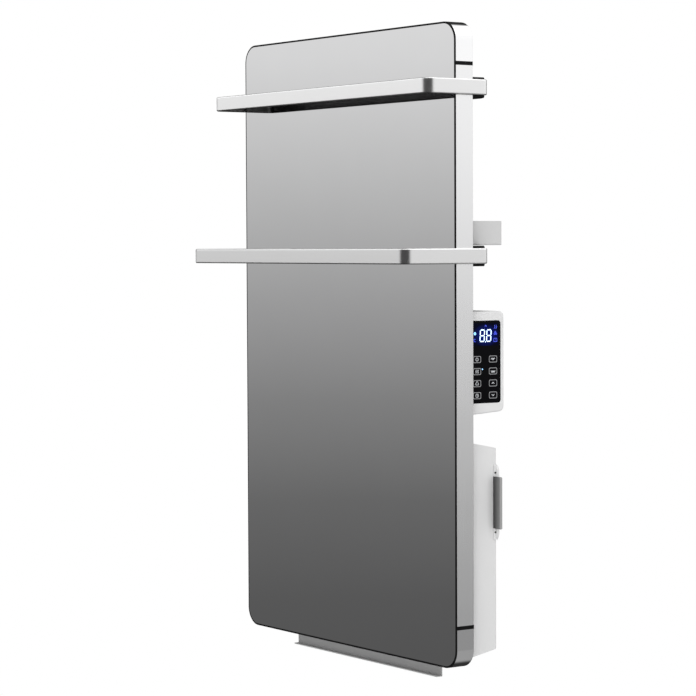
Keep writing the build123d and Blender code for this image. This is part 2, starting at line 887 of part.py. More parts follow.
# Bezel with a pocket for the touch glass and a window for the display
touch_middle_from_wall = touch_glass_from_wall + touch_glass_depth / 2
touch_middle_height = touch_glass_foot + touch_glass_height / 2
pocket_floor = control_side - touch_glass_thickness - snug
control_board_face = pocket_floor - bezel_face - display_thickness
control_board_posts = [
    (
        -(touch_middle_from_wall + side * (control_board_depth / 2 - control_board_post_inset)),
        up(touch_middle_height + end * (control_board_height / 2 - control_board_post_inset)),
    )
    for side in (-1, 1)
    for end in (-1, 1)
]
with BuildPart() as control_bezel:
    with BuildSketch(across(bezel_back)):
        control_outline(0)
    extrude(amount=bezel_depth)
    fillet(control_bezel.faces().sort_by(Axis.X)[-1].edges(), bezel_edge_radius)
    with BuildSketch(across(bezel_back)):
        control_outline(control_wall)
    extrude(amount=pocket_floor - bezel_face - bezel_back, mode=Mode.SUBTRACT)
    with BuildSketch(across(pocket_floor)):
        with Locations((-touch_middle_from_wall, up(touch_middle_height))):
            RectangleRounded(
                touch_glass_depth + 2 * snug,
                touch_glass_height + 2 * snug,
                touch_glass_radius + snug,
            )
    extrude(amount=touch_glass_thickness + snug, mode=Mode.SUBTRACT)
    with BuildSketch(across(pocket_floor)):
        with Locations((-touch_middle_from_wall, up(display_middle))):
            Rectangle(display_width - 2 * display_rim, display_height - 2 * display_rim)
    extrude(amount=-bezel_face, mode=Mode.SUBTRACT)
    with BuildSketch(across(control_board_face)):
        with Locations(*control_board_posts):
            Circle(control_board_post_radius)
    extrude(amount=display_thickness)
save(control_bezel.part, "control_bezel")

with BuildPart() as touch_glass:
    with BuildSketch(across(pocket_floor)):
        with Locations((-touch_middle_from_wall, up(touch_middle_height))):
            RectangleRounded(touch_glass_depth, touch_glass_height, touch_glass_radius)
    extrude(amount=touch_glass_thickness)
    chamfer(touch_glass.faces().sort_by(Axis.X)[-1].edges(), touch_glass_bevel)
save(touch_glass.part, "touch_glass")

with BuildPart() as display_module:
    with BuildSketch(across(control_board_face)):
        with Locations((-touch_middle_from_wall, up(display_middle))):
            Rectangle(display_width, display_height)
    extrude(amount=display_thickness)
    with BuildSketch(across(control_board_face + display_thickness)):
        with Locations((-touch_middle_from_wall, up(display_middle))):
            Rectangle(
                display_width - 2 * (display_rim + seat), display_height - 2 * (display_rim + seat)
            )
    extrude(amount=bezel_face - seat)
save(display_module.part, "display_module")

with BuildPart() as control_board:
    with BuildSketch(across(control_board_face - board_thickness)):
        with Locations((-touch_middle_from_wall, up(touch_middle_height))):
            Rectangle(control_board_depth, control_board_height)
    extrude(amount=board_thickness)
save(control_board.part, "control_board")

with BuildPart() as power_board:
    with BuildSketch(from_wall(power_board_back)):
        with Locations((power_board_x, up(power_board_middle))):
            Rectangle(power_board_width, power_board_height)
    extrude(amount=board_thickness)
    with BuildSketch(from_wall(power_board_front)):
        with Locations((power_board_x, up(power_board_middle + relay_above_middle))):
            with GridLocations(relay_width + relay_spacing, 0, relay_count, 1):
                Rectangle(relay_width, relay_tall)
    extrude(amount=relay_high)
save(power_board.part, "power_board")

terminal_height = control_foot + terminal_above_foot
with BuildPart() as terminal_block:
    with BuildSketch(from_wall(power_board_front)):
        with Locations((power_board_x, up(terminal_height))):
            Rectangle(terminal_count * terminal_pitch, terminal_tall)
    extrude(amount=terminal_deep)
    with BuildSketch(Plane.XY.offset(up(terminal_height - terminal_tall / 2))):
        with Locations((power_board_x, -(power_board_front + terminal_wire_above_board))):
            with GridLocations(terminal_pitch, 0, terminal_count, 1):
                Circle(terminal_wire_radius)
    extrude(amount=terminal_wire_depth, mode=Mode.SUBTRACT)
save(terminal_block.part, "terminal_block")

# Gland for the supply cord, in the box's hidden side
gland_axis = Plane(
    origin=(control_inner_side, -gland_from_wall, up(gland_height)), x_dir=(0, 1, 0), z_dir=(-1, 0, 0)
)
with BuildPart() as cable_gland:
    with BuildSketch(gland_axis.offset(-gland_inside)):
        Circle(gland_bore_radius + gland_wall)
    extrude(amount=gland_length)
    with BuildSketch(gland_axis):
        RegularPolygon(gland_bore_radius + gland_nut_wall, gland_nut_sides)
    extrude(amount=gland_nut_thickness)
    with BuildSketch(gland_axis.offset(-control_wall)):
        RegularPolygon(gland_bore_radius + gland_nut_wall, gland_nut_sides)
    extrude(amount=-gland_lock_nut_thickness)
    with BuildSketch(gland_axis.offset(gland_nut_thickness)):
        Circle(gland_bore_radius + gland_dome_wall)
    extrude(amount=gland_length - gland_inside - gland_nut_thickness)
    fillet(cable_gland.faces().sort_by(Axis.X)[0].outer_wire().edges(), gland_dome_edge_radius)
    with BuildSketch(gland_axis.offset(-gland_inside)):
        Circle(gland_bore_radius)
    extrude(amount=gland_length, mode=Mode.SUBTRACT)
save(cable_gland.part, "cable_gland")

# Mains rocker switch, above the gland
switch_plane = Plane(
    origin=(control_inner_side, -switch_from_wall, up(switch_height)), x_dir=(0, 1, 0), z_dir=(-1, 0, 0)
)
rocker_window_tall = rocker_tall + 2 * rocker_end_gap
rocker_window_deep = rocker_deep + 2 * rocker_side_gap
rocker_pivot_x = control_inner_side + rocker_pivot_depth
with BuildPart() as switch_body:
    with BuildSketch(switch_plane):
        Rectangle(
            switch_body_deep + 2 * switch_flange_lap, switch_body_tall + 2 * switch_flange_lap
        )
    extrude(amount=switch_flange)
    with BuildSketch(switch_plane):
        Rectangle(switch_body_deep, switch_body_tall)
    extrude(amount=-switch_body_long)
    with BuildSketch(switch_plane.offset(switch_flange)):
        Rectangle(rocker_window_deep, rocker_window_tall)
    extrude(amount=-(switch_flange + switch_well), mode=Mode.SUBTRACT)
    with BuildSketch(Plane.XZ.offset(switch_from_wall - rocker_deep / 2 - rocker_pin_hole_reach)):
        with Locations((rocker_pivot_x, up(switch_height))):
            Circle(rocker_pin_radius + running)
    extrude(amount=rocker_deep + 2 * rocker_pin_hole_reach, mode=Mode.SUBTRACT)
save(switch_body.part, "switch_body")

# The rocker at rest stands tilted to its ON side
with BuildPart() as rocker:
    with BuildSketch(Plane.XZ.offset(switch_from_wall - rocker_deep / 2)) as rocker_side:
        with Locations(Location((rocker_pivot_x, up(switch_height)), rocker_tilt)):
            Polygon(
                (rocker_root, -rocker_tall * rocker_root_share),
                (0.0, -rocker_tall / 2),
                (-rocker_pivot_depth - rocker_crest, -rocker_tall / 2),
                (-rocker_pivot_depth - rocker_dip, 0.0),
                (-rocker_pivot_depth - rocker_crest, rocker_tall / 2),
                (0.0, rocker_tall / 2),
                (rocker_root, rocker_tall * rocker_root_share),
                align=None,
            )
        fillet(rocker_side.vertices().group_by(Axis.X)[0], rocker_edge_radius)
    extrude(amount=rocker_deep)
    with BuildSketch(Plane.XZ.offset(switch_from_wall - rocker_deep / 2 - rocker_pin_reach)):
        with Locations((rocker_pivot_x, up(switch_height))):
            Circle(rocker_pin_radius)
    extrude(amount=rocker_deep + 2 * rocker_pin_reach)
save(rocker.part, "rocker")


# Fan heater box
def fan_box_foot(distance):
    """Height of the box's slanted underside at this distance from the wall."""
    share = (distance - fan_wall_gap) / (cover_back - fan_wall_gap)
    return fan_foot_rear + share * (fan_foot_front - fan_foot_rear)


def fan_box_head(distance):
    """Height of the box's slanted top at this distance from the wall."""
    share = (distance - fan_wall_gap) / (cover_back - fan_wall_gap)
    return fan_head_rear + share * (fan_head_front - fan_head_rear)


def scoop_relief():
    """Room taken from the box's inside behind the finger recess."""
    sections = []
    for x, share in ((fan_side, 1.0), (fan_side - scoop_depth - fan_wall, scoop_floor_share)):
        reach = scoop_reach * share + fan_wall
        with BuildSketch(across(x)) as oval:
            with Locations((-fan_wall_gap, up(scoop_middle))):
                Ellipse(reach, reach * scoop_half_height / scoop_reach)
        sections.append(oval.sketch.face())
    loft(sections, mode=Mode.SUBTRACT)


def scoop_section(share):
    """Level section of the finger recess, at this share of its half height above its middle."""
    run = scoop_reach * (1 - share**2) ** 0.5
    depth = scoop_depth * (1 - share**2)
    rim = (fan_side, -(fan_wall_gap + run))
    rear = (fan_side - depth, -fan_wall_gap)
    beyond_rear = -fan_wall_gap + scoop_overrun
    outside = fan_side + scoop_overrun
    with BuildSketch(Plane.XY.offset(up(scoop_middle + share * scoop_half_height))) as section:
        with BuildLine():
            TangentArc(rim, rear, tangent=(0, 1))
            Line(rear, (rear[0], beyond_rear))
            Line((rear[0], beyond_rear), (outside, beyond_rear))
            Line((outside, beyond_rear), (outside, rim[1]))
            Line((outside, rim[1]), rim)
        make_face()
    return section.sketch.face()


with BuildPart() as fan_cavity:
    with BuildSketch(across(-(fan_side - fan_wall))):
        rear = fan_wall_gap + fan_rear_wall
        open_front = cover_back + cut_overrun
        side_polygon(
            (open_front, fan_box_foot(open_front) + fan_wall),
            (open_front, fan_box_head(open_front) - fan_wall),
            (rear, fan_box_head(rear) - fan_wall),
            (rear, fan_box_foot(rear) + fan_wall),
        )
    extrude(amount=2 * (fan_side - fan_wall))
    scoop_relief()

outlet_middle_from_wall = outlet_from_wall + outlet_depth / 2
intake_middle_x = (intake_low_x + intake_high_x) / 2
intake_middle_height = (intake_foot + intake_head) / 2
filter_back = fan_wall_gap + fan_rear_wall + grille_flange + 2 * seat
filter_front = filter_back + filter_thickness
filter_head = filter_foot + filter_tall
filter_middle_y = -(filter_back + filter_front) / 2
filter_middle_height = filter_foot + filter_tall / 2
filter_low_x = fan_side - filter_inset - filter_length
pad_from_wall = fan_wall_gap + pad_inset
lug_outer = flap_half_length + flap_lug_gap + flap_lug
lug_back = flap_axis_from_wall - flap_lug_half
lug_front = flap_axis_from_wall + flap_lug_half

with BuildPart() as fan_housing:
    with BuildSketch(across(-fan_side)):
        side_polygon(
            (cover_back, fan_foot_front),
            (cover_back, fan_head_front),
            (fan_wall_gap, fan_head_rear),
            (fan_wall_gap, fan_foot_rear),
        )
    extrude(amount=2 * fan_side)
    fillet(fan_housing.faces().sort_by(Axis.Y)[-1].edges(), fan_edge_radius)
    scoop_turns = range(-scoop_last_turn, scoop_last_turn + 1, scoop_turn_step)
    loft([scoop_section(sin(radians(turn))) for turn in scoop_turns], mode=Mode.SUBTRACT)
    add(fan_cavity.part, mode=Mode.SUBTRACT)
    posts(fan_post_points, fan_wall_gap + fan_rear_wall / 2, cover_back)
    post_holes(fan_post_points, fan_wall_gap, cover_back)
    # outlet slot in the underside
    with BuildSketch(Plane.XY.offset(up(0))):
        with Locations((0, -outlet_middle_from_wall)):
            Rectangle(2 * outlet_half_length, outlet_depth)
    extrude(amount=fan_foot_rear + fan_wall + 2 * cut_overrun, mode=Mode.SUBTRACT)
    # intake window in the rear wall
    with BuildSketch(from_wall(fan_wall_gap)):
        with Locations((intake_middle_x, up(intake_middle_height))):
            Rectangle(intake_high_x - intake_low_x, intake_head - intake_foot)
    extrude(amount=fan_rear_wall, mode=Mode.SUBTRACT)
    # guide rails above and below the filter
    with BuildSketch(across(filter_low_x - filter_guide_spare)):
        for edge, turn in ((filter_foot, -1), (filter_head, 1)):
            lip_edge = edge - turn * filter_guide_lip
            side_polygon(
                (fan_wall_gap + fan_rear_wall / 2, edge + turn * seat),
                (filter_front + seat, edge + turn * seat),
                (filter_front + seat, lip_edge),
                (filter_front + seat + filter_guide, lip_edge),
                (filter_front + seat + filter_guide, edge + turn * (seat + filter_guide)),
                (fan_wall_gap + fan_rear_wall / 2, edge + turn * (seat + filter_guide)),
            )
    extrude(amount=fan_side - fan_wall / 2 - scoop_depth - filter_low_x)
    # slot in the right side for the filter
    with BuildSketch(across(fan_side - 2 * (scoop_depth + cut_overrun))):
        with Locations((filter_middle_y, up(filter_middle_height))):
            Rectangle(filter_thickness + 2 * seat, filter_tall + 2 * seat)
    extrude(amount=2 * scoop_depth + 4 * cut_overrun, mode=Mode.SUBTRACT)
    # pad for the lower bracket, with its screw hole
    with BuildSketch(across(-pad_half_width)):
        side_polygon(
            (pad_from_wall, bracket_top_height),
            (pad_from_wall, fan_box_foot(pad_from_wall) + fan_wall / 2),
            (pad_front, fan_box_foot(pad_front) + fan_wall / 2),
            (pad_front, bracket_top_height),
        )
    extrude(amount=2 * pad_half_width)
    with BuildSketch(Plane.XY.offset(up(bracket_top_height))):
        with Locations((0, -lock_screw_from_wall)):
            Circle(large_screw_radius + screw_hole_gap)
    extrude(amount=lock_shank, mode=Mode.SUBTRACT)
    # lugs that carry the flap's pins
    for side in (-1, 1):
        with BuildSketch(across(side * (lug_outer - flap_lug / 2) - flap_lug / 2)):
            side_polygon(
                (lug_back, flap_axis_height - flap_lug_half),
                (lug_back, fan_box_foot(flap_axis_from_wall) + fan_wall / 2),
                (lug_front, fan_box_foot(flap_axis_from_wall) + fan_wall / 2),
                (lug_front, flap_axis_height - flap_lug_half),
            )
            with Locations((-flap_axis_from_wall, up(flap_axis_height))):
                Circle(flap_pin_radius + running, mode=Mode.SUBTRACT)
        extrude(amount=flap_lug)
    # hole for the link cable
    with BuildSketch(Plane.XY.offset(up(fan_head_rear - 2 * cut_overrun))):
        with Locations((link_cable_x, -link_cable_from_wall)):
            Circle(link_hole_radius)
    extrude(amount=fan_head_front - fan_head_rear + 4 * cut_overrun, mode=Mode.SUBTRACT)
save(fan_housing.part, "fan_housing")

# Long screws that hold both boxes to the rear cover
box_screw_length = cover_front + screw_grip - box_screw_seat
box_screws = screw_group(
    control_post_points + fan_post_points,
    box_screw_seat,
    box_screw_length,
    large_screw_radius,
    large_head_radius,
)
save(box_screws, "box_screws")

# Rubber bumpers between the fan box and the wall
with BuildPart() as wall_bumpers:
    with BuildSketch(from_wall(0)):
        with Locations((0, up(bumper_height))):
            with GridLocations(bumper_spacing, 0, 2, 1):
                Circle(bumper_radius)
    extrude(amount=fan_wall_gap)
    fillet(wall_bumpers.faces().filter_by(Axis.Y).group_by(Axis.Y)[-1].edges(), bumper_edge_radius)
save(wall_bumpers.part, "wall_bumpers")

# Intake grille in the rear wall
intake_width = intake_high_x - intake_low_x
intake_tall = intake_head - intake_foot
with BuildPart() as intake_grille:
    with BuildSketch(from_wall(fan_wall_gap)):
        with Locations((intake_middle_x, up(intake_middle_height))):
            Rectangle(intake_width - 2 * snug, intake_tall - 2 * snug)
    extrude(amount=fan_rear_wall)
    with BuildSketch(from_wall(fan_wall_gap + fan_rear_wall)):
        with Locations((intake_middle_x, up(intake_middle_height))):
            Rectangle(intake_width + 2 * grille_lap, intake_tall + 2 * grille_lap)
    extrude(amount=grille_flange)
    slot_columns = int((intake_width - 2 * intake_rim) // intake_bar_pitch)
    slot_tall = (intake_tall - 3 * intake_rim) / 2
    with BuildSketch(from_wall(fan_wall_gap)):
        with Locations((intake_middle_x, up(intake_middle_height))):
            with GridLocations(intake_bar_pitch, slot_tall + intake_rim, slot_columns, 2):
                Rectangle(intake_slot, slot_tall)
    extrude(amount=fan_rear_wall + grille_flange, mode=Mode.SUBTRACT)
save(intake_grille.part, "intake_grille")

# Outlet grille in the underside
def outlet_band(low, high, inset):
    """Slanted band along the box's underside, between two heights above its outer skin."""
    near = outlet_from_wall + inset
    far = outlet_from_wall + outlet_depth - inset
    side_polygon(
        (near, fan_box_foot(near) + low),
        (near, fan_box_foot(near) + high),
        (far, fan_box_foot(far) + high),
        (far, fan_box_foot(far) + low),
    )


with BuildPart() as outlet_grille:
    with BuildSketch(across(-(outlet_half_length - snug))):
        outlet_band(0, fan_wall, snug)
    extrude(amount=2 * (outlet_half_length - snug))
    with BuildSketch(across(-(outlet_half_length - snug))):
        outlet_band(fan_wall, fan_wall + grille_wall, -outlet_lap)
    extrude(amount=2 * (outlet_half_length - snug))
    rib_columns = int((2 * outlet_half_length - 2 * outlet_rim) // outlet_rib_pitch)
    with BuildSketch(Plane.XY.offset(up(0))):
        with Locations((0, -outlet_middle_from_wall)):
            with GridLocations(
                outlet_rib_pitch, (outlet_depth - outlet_rim) / 2, rib_columns, 2
            ):
                Rectangle(outlet_slot, (outlet_depth - 3 * outlet_rim) / 2)
    extrude(amount=fan_foot_rear + fan_wall + 2 * grille_wall, mode=Mode.SUBTRACT)
save(outlet_grille.part, "outlet_grille")

# Dust filter: frame, mesh, end cap, tab and the tab's screws
filter_middle_x = filter_low_x + filter_length / 2
filter_high_x = filter_low_x + filter_length
mesh_back = filter_back + (filter_thickness - filter_mesh_thickness) / 2
window_width = (filter_length - (filter_windows + 1) * filter_border) / filter_windows
with BuildPart() as filter_frame:
    with BuildSketch(from_wall(filter_back)):
        with Locations((filter_middle_x, up(filter_middle_height))):
            Rectangle(filter_length, filter_tall)
            with GridLocations(window_width + filter_border, 0, filter_windows, 1):
                Rectangle(window_width, filter_tall - 2 * filter_border, mode=Mode.SUBTRACT)
    extrude(amount=filter_thickness)
    with BuildSketch(from_wall(mesh_back)):
        with Locations((filter_middle_x, up(filter_middle_height))):
            Rectangle(filter_length - filter_border, filter_tall - filter_border)
    extrude(amount=filter_mesh_thickness, mode=Mode.SUBTRACT)
save(filter_frame.part, "filter_frame")

with BuildPart() as filter_mesh:
    with BuildSketch(from_wall(mesh_back)):
        with Locations((filter_middle_x, up(filter_middle_height))):
            Rectangle(filter_length - filter_border, filter_tall - filter_border)
    extrude(amount=filter_mesh_thickness)
save(filter_mesh.part, "filter_mesh")

cap_plate_x = fan_side + seat
cap_face_x = cap_plate_x + filter_cap_thickness
cap_foot = filter_foot - filter_cap_lap
cap_head = filter_head + filter_cap_lap
cap_rear = fan_wall_gap + filter_cap_rear_gap
tab_back = filter_back
tab_screw_points = [
    (filter_middle_y, up(height))
    for height in (tab_foot - tab_screw_from_tab, tab_foot + tab_tall + tab_screw_from_tab)
]
tab_root_x = fan_side - tab_sunk
with BuildPart() as filter_cap:
    with BuildSketch(across(filter_high_x)):
        with Locations((filter_middle_y, up(filter_middle_height))):
            Rectangle(filter_thickness, filter_tall)
    extrude(amount=cap_face_x - filter_high_x)
    with BuildSketch(across(cap_plate_x)):
        with Locations((-(cap_rear + filter_front) / 2, up(filter_middle_height))):
            RectangleRounded(filter_front - cap_rear, cap_head - cap_foot, filter_cap_corner_radius)
    extrude(amount=filter_cap_thickness)
    # ridge with rounded ends along the rear edge
    with BuildSketch(from_wall(cap_rear)):
        with BuildLine():
            ridge_root_x = cap_face_x - filter_ridge_sunk
            ridge_low = (ridge_root_x, up(cap_foot + filter_ridge_inset))
            ridge_high = (ridge_root_x, up(cap_head - filter_ridge_inset))
            low_shoulder = (cap_face_x + filter_ridge, up(cap_foot + filter_ridge_turn))
            high_shoulder = (cap_face_x + filter_ridge, up(cap_head - filter_ridge_turn))
            TangentArc(low_shoulder, ridge_low, tangent=(0, -1))
            TangentArc(high_shoulder, ridge_high, tangent=(0, 1))
            Line(low_shoulder, high_shoulder)
            Line(ridge_low, ridge_high)
        make_face()
    extrude(amount=tab_back - cap_rear)
    # room for the tab's root
    with BuildSketch(from_wall(tab_back)):
        with Locations((cap_face_x, up(tab_foot + tab_tall / 2))):
            Rectangle(2 * (cap_face_x - tab_root_x + snug), tab_tall + 2 * snug)
    extrude(amount=cap_face_x - filter_high_x, mode=Mode.SUBTRACT)
    with BuildSketch(across(cap_face_x)):
        with Locations(*tab_screw_points):
            Circle(tab_screw_radius + pressed)
    extrude(amount=-tab_screw_hole_depth, mode=Mode.SUBTRACT)
save(filter_cap.part, "filter_cap")

with BuildPart() as filter_tab:
    with BuildSketch(Plane.XY.offset(up(tab_foot))) as tab_section:
        with BuildLine():
            tip_x = fan_side + tab_reach
            back_y = -tab_back
            front_y = -(tab_back + tab_thickness)
            bend_x = tip_x - tab_curl_radius
            Line((tab_root_x, back_y), (bend_x, back_y))
            TangentArc((bend_x, back_y), (tip_x, back_y - tab_curl_radius), tangent=(1, 0))
            tip_front = front_y - tab_lip
            Line((tip_x, back_y - tab_curl_radius), (tip_x, tip_front))
            Line((tip_x, tip_front), (tip_x - tab_lip_thickness, tip_front))
            Line((tip_x - tab_lip_thickness, tip_front), (tip_x - tab_lip_root, front_y))
            Line((tip_x - tab_lip_root, front_y), (tab_root_x, front_y))
            Line((tab_root_x, front_y), (tab_root_x, back_y))
        make_face()
    extrude(amount=tab_tall)
    fillet(filter_tab.edges().filter_by(Axis.Y).group_by(Axis.X)[-1], tab_corner_radius)
save(filter_tab.part, "filter_tab")

with BuildPart() as tab_screws:
    with BuildSketch(across(cap_face_x)):
        with Locations(*tab_screw_points):
            Circle(filter_thickness / 2)
    extrude(amount=tab_screw_radius)
    with BuildSketch(across(cap_face_x)):
        with Locations(*tab_screw_points):
            Circle(tab_screw_radius)
    extrude(amount=-tab_screw_length)
save(tab_screws.part, "tab_screws")

# Cross-flow fan: wheel, shaft, motor and end bearing
wheel_axis = (-wheel_from_wall, up(wheel_height))
half_wheel = wheel_length / 2
blade_radius = wheel_radius - blade_middle_below_rim
with BuildPart() as fan_wheel:
    with BuildSketch(across(-half_wheel)):
        with Locations(wheel_axis):
            with PolarLocations(blade_radius, wheel_blades):
                Rectangle(blade_width, blade_thickness, rotation=blade_lean)
    extrude(amount=wheel_length)
    disc_pitch = (wheel_length - wheel_disc) / (wheel_discs - 1)
    for index in range(wheel_discs):
        with BuildSketch(across(-half_wheel + index * disc_pitch)):
            with Locations(wheel_axis):
                Circle(wheel_radius)
                end_disc = index in (0, wheel_discs - 1)
                bore = shaft_radius + pressed if end_disc else wheel_radius - wheel_disc_ring
                Circle(bore, mode=Mode.SUBTRACT)
        extrude(amount=wheel_disc)
    for hub_start in (-half_wheel, half_wheel - hub_length):
        with BuildSketch(across(hub_start)):
            with Locations(wheel_axis):
                Circle(shaft_radius + hub_wall)
                Circle(shaft_radius + pressed, mode=Mode.SUBTRACT)
        extrude(amount=hub_length)
save(fan_wheel.part, "fan_wheel")

motor_face = -(outlet_half_length + duct_end_plate)
motor_screw_offset = motor_radius - motor_screw_inset
motor_screw_spots = [
    (-wheel_from_wall, up(wheel_height + turn * motor_screw_offset)) for turn in (-1, 1)
]
motor_bore = motor_length - motor_end_wall
shaft_right = outlet_half_length + duct_end_plate + shaft_end
with BuildPart() as fan_shaft:
    shaft_left = motor_face - motor_bore + motor_shaft_gap
    with BuildSketch(across(shaft_left)):
        with Locations(wheel_axis):
            Circle(shaft_radius)
    extrude(amount=shaft_right - shaft_left)
save(fan_shaft.part, "fan_shaft")

with BuildPart() as fan_motor:
    with BuildSketch(across(motor_face)):
        with Locations(wheel_axis):
            Circle(motor_radius)
    extrude(amount=-motor_length)
    fillet(fan_motor.faces().sort_by(Axis.X)[0].edges(), motor_edge_radius)
    with BuildSketch(across(motor_face)):
        with Locations(wheel_axis):
            Circle(shaft_radius + running)
    extrude(amount=-motor_bore, mode=Mode.SUBTRACT)
    with BuildSketch(across(motor_face)):
        with Locations(*motor_screw_spots):
            Circle(small_screw_radius + pressed)
    extrude(amount=-motor_screw_depth, mode=Mode.SUBTRACT)
save(fan_motor.part, "fan_motor")

with BuildPart() as end_bearing:
    with BuildSketch(across(outlet_half_length - bearing_inner_reach)):
        with Locations(wheel_axis):
            Circle(bearing_radius)
    extrude(amount=bearing_length)
    with BuildSketch(across(outlet_half_length + duct_end_plate)):
        with Locations(wheel_axis):
            Circle(bearing_radius + bearing_flange)
    extrude(amount=bearing_flange_thickness)
    with BuildSketch(across(outlet_half_length - bearing_inner_reach)):
        with Locations(wheel_axis):
            Circle(shaft_radius + running)
    extrude(amount=bearing_length, mode=Mode.SUBTRACT)
save(end_bearing.part, "end_bearing")

# Air duct: a wall that wraps the wheel's front and top, a rear wall with a tongue, two end plates
guide_radius = wheel_radius + duct_gap + duct_wall / 2
duct_foot = fan_foot_rear + fan_wall + grille_wall + duct_above_grille
duct_rear = outlet_from_wall - duct_wall / 2
duct_head = wheel_height + guide_radius + duct_above_wheel
tongue_foot = wheel_height - tongue_below_axis
with BuildPart() as air_duct:
    with BuildSketch(across(-outlet_half_length)):
        with BuildLine():
            front_y = -(wheel_from_wall + guide_radius)
            Line((front_y, up(duct_foot)), (front_y, up(wheel_height)))
            CenterArc(wheel_axis, guide_radius, 180, -duct_wrap_angle)
        trace(line_width=duct_wall)
    extrude(amount=2 * outlet_half_length)
    with BuildSketch(across(-outlet_half_length)):
        with BuildLine():
            Polyline(
                (-duct_rear, up(duct_foot)),
                (-duct_rear, up(tongue_foot)),
                (-(wheel_from_wall - tongue_from_axis), up(wheel_height - wheel_radius - duct_gap)),
            )
        trace(line_width=duct_wall)
    extrude(amount=2 * outlet_half_length)
    for start in (-outlet_half_length - duct_end_plate, outlet_half_length):
        with BuildSketch(across(start)):
            side_polygon(
                (duct_rear - duct_wall, duct_foot),
                (cover_back, duct_foot),
                (cover_back, duct_head),
                (duct_rear - duct_wall, duct_head),
            )
            with Locations(wheel_axis):
                hole = bearing_radius + pressed if start > 0 else shaft_radius + duct_shaft_gap
                Circle(hole, mode=Mode.SUBTRACT)
            if start < 0:
                with Locations(*motor_screw_spots):
                    Circle(small_screw_radius + screw_hole_gap, mode=Mode.SUBTRACT)
        extrude(amount=duct_end_plate)
save(air_duct.part, "air_duct")

# Heating element: three flat tubes with fins between them, held by two end holders
heater_depth = outlet_depth + heater_spare_depth
heater_middle_from_wall = outlet_middle_from_wall + heater_offset
fin_count = int(2 * heater_half_length // heater_fin_pitch)
with BuildPart() as ptc_heater:
    with BuildSketch(Plane.XY.offset(up(heater_foot))):
        with Locations((0, -heater_middle_from_wall)):
            tube_pitch = (heater_depth - heater_tube) / (heater_tubes - 1)
            with GridLocations(0, tube_pitch, 1, heater_tubes):
                Rectangle(2 * heater_half_length, heater_tube)
            with GridLocations(heater_fin_pitch, 0, fin_count, 1):
                Rectangle(heater_fin, heater_depth)
    extrude(amount=heater_tall)
save(ptc_heater.part, "ptc_heater")

with BuildPart() as heater_holders:
    with BuildSketch(Plane.XY.offset(up(heater_foot - heater_holder_lap))):
        for side in (-1, 1):
            holder_middle = side * (heater_half_length + outlet_half_length) / 2
            with Locations((holder_middle, -heater_middle_from_wall)):
                Rectangle(outlet_half_length - heater_half_length - 2 * snug, heater_depth)
    extrude(amount=heater_tall + 2 * heater_holder_lap)
save(heater_holders.part, "heater_holders")

with BuildPart() as thermal_cutout:
    with BuildSketch(from_wall(duct_rear - duct_wall / 2 - cutout_thickness)):
        with Locations((0, up(heater_foot + heater_tall + cutout_above_heater))):
            Circle(cutout_radius)
    extrude(amount=cutout_thickness)
save(thermal_cutout.part, "thermal_cutout")

# Short screws: cover to frame, hooks to cover, motor to duct
small_screw_length = sheet_steel + cover_thickness + screw_grip
motor_screw_planes = [
    Plane(
        origin=(-outlet_half_length, -wheel_from_wall, up(wheel_height + turn * motor_screw_offset)),
        x_dir=(0, 1, 0),
        z_dir=(-1, 0, 0),
    )
    for turn in (-1, 1)
]
with BuildPart() as small_screws:
    for point in cover_screw_points:
        screw(facing_front(point, cover_back), small_screw_length, small_screw_radius, small_head_radius)
    for point in hook_screw_points:
        head_plane = facing_front(point, cover_back - sheet_steel)
        screw(head_plane, small_screw_length, small_screw_radius, small_head_radius)
    for head_plane in motor_screw_planes:
        screw(head_plane, small_screw_length, small_screw_radius, small_head_radius)
save(small_screws.part, "small_screws")

# Cable and its cover between the two boxes
link_cover_half = 15.0
link_cover_depth = 16.0
link_cover_wall = 1.5
link_cover_edge_radius = 3.0
link_cover_back = cover_back - link_cover_depth


def control_box_foot(distance):
    """Height of the control box's slanted underside at this distance from the wall."""
    share = (cover_back - distance) / (cover_back - control_wall_gap)
    return control_foot + share * control_foot_rise


with BuildPart() as cable_cover:
    with BuildSketch(across(link_cable_x - link_cover_half)):
        side_polygon(
            (cover_back, fan_box_head(cover_back) + seat),
            (cover_back, control_box_foot(cover_back) - seat),
            (link_cover_back, control_box_foot(link_cover_back) - seat),
            (link_cover_back, fan_box_head(link_cover_back) + seat),
        )
    extrude(amount=2 * link_cover_half)
    fillet(cable_cover.edges().filter_by(Axis.Z).group_by(Axis.Y)[-1], link_cover_edge_radius)
    with BuildSketch(Plane.XY.offset(up(fan_head_rear))):
        with Locations((link_cable_x, -(link_cover_back + link_cover_wall + link_cover_depth / 2))):
            Rectangle(2 * (link_cover_half - link_cover_wall), link_cover_depth)
    extrude(amount=control_foot + 2 * control_foot_rise - fan_head_rear, mode=Mode.SUBTRACT)
save(cable_cover.part, "cable_cover")

plug_width = 24.0
plug_tall = 12.0
plug_half_deep = 6.0
plug_back = link_cable_from_wall - plug_half_deep
link_cable_below_head = 21.6  # from the fan box's top to the plug inside it
link_cable_above_foot = 12.0
link_cable_foot = fan_head_front - link_cable_below_head
link_cable_head = control_foot + link_cable_above_foot
with BuildPart() as link_cable:
    with BuildSketch(Plane.XY.offset(up(link_cable_foot))):
        with Locations((link_cable_x, -link_cable_from_wall)):
            Circle(link_cable_radius)
    extrude(amount=link_cable_head - link_cable_foot)
    for foot, plug_front in (
        (link_cable_foot - plug_tall, cover_back),
        (link_cable_head, cover_back - control_wall),
    ):
        with BuildSketch(Plane.XY.offset(up(foot))):
            with Locations((link_cable_x, -(plug_front + plug_back) / 2)):
                Rectangle(plug_width, plug_front - plug_back)
        extrude(amount=plug_tall)
save(link_cable.part, "link_cable")

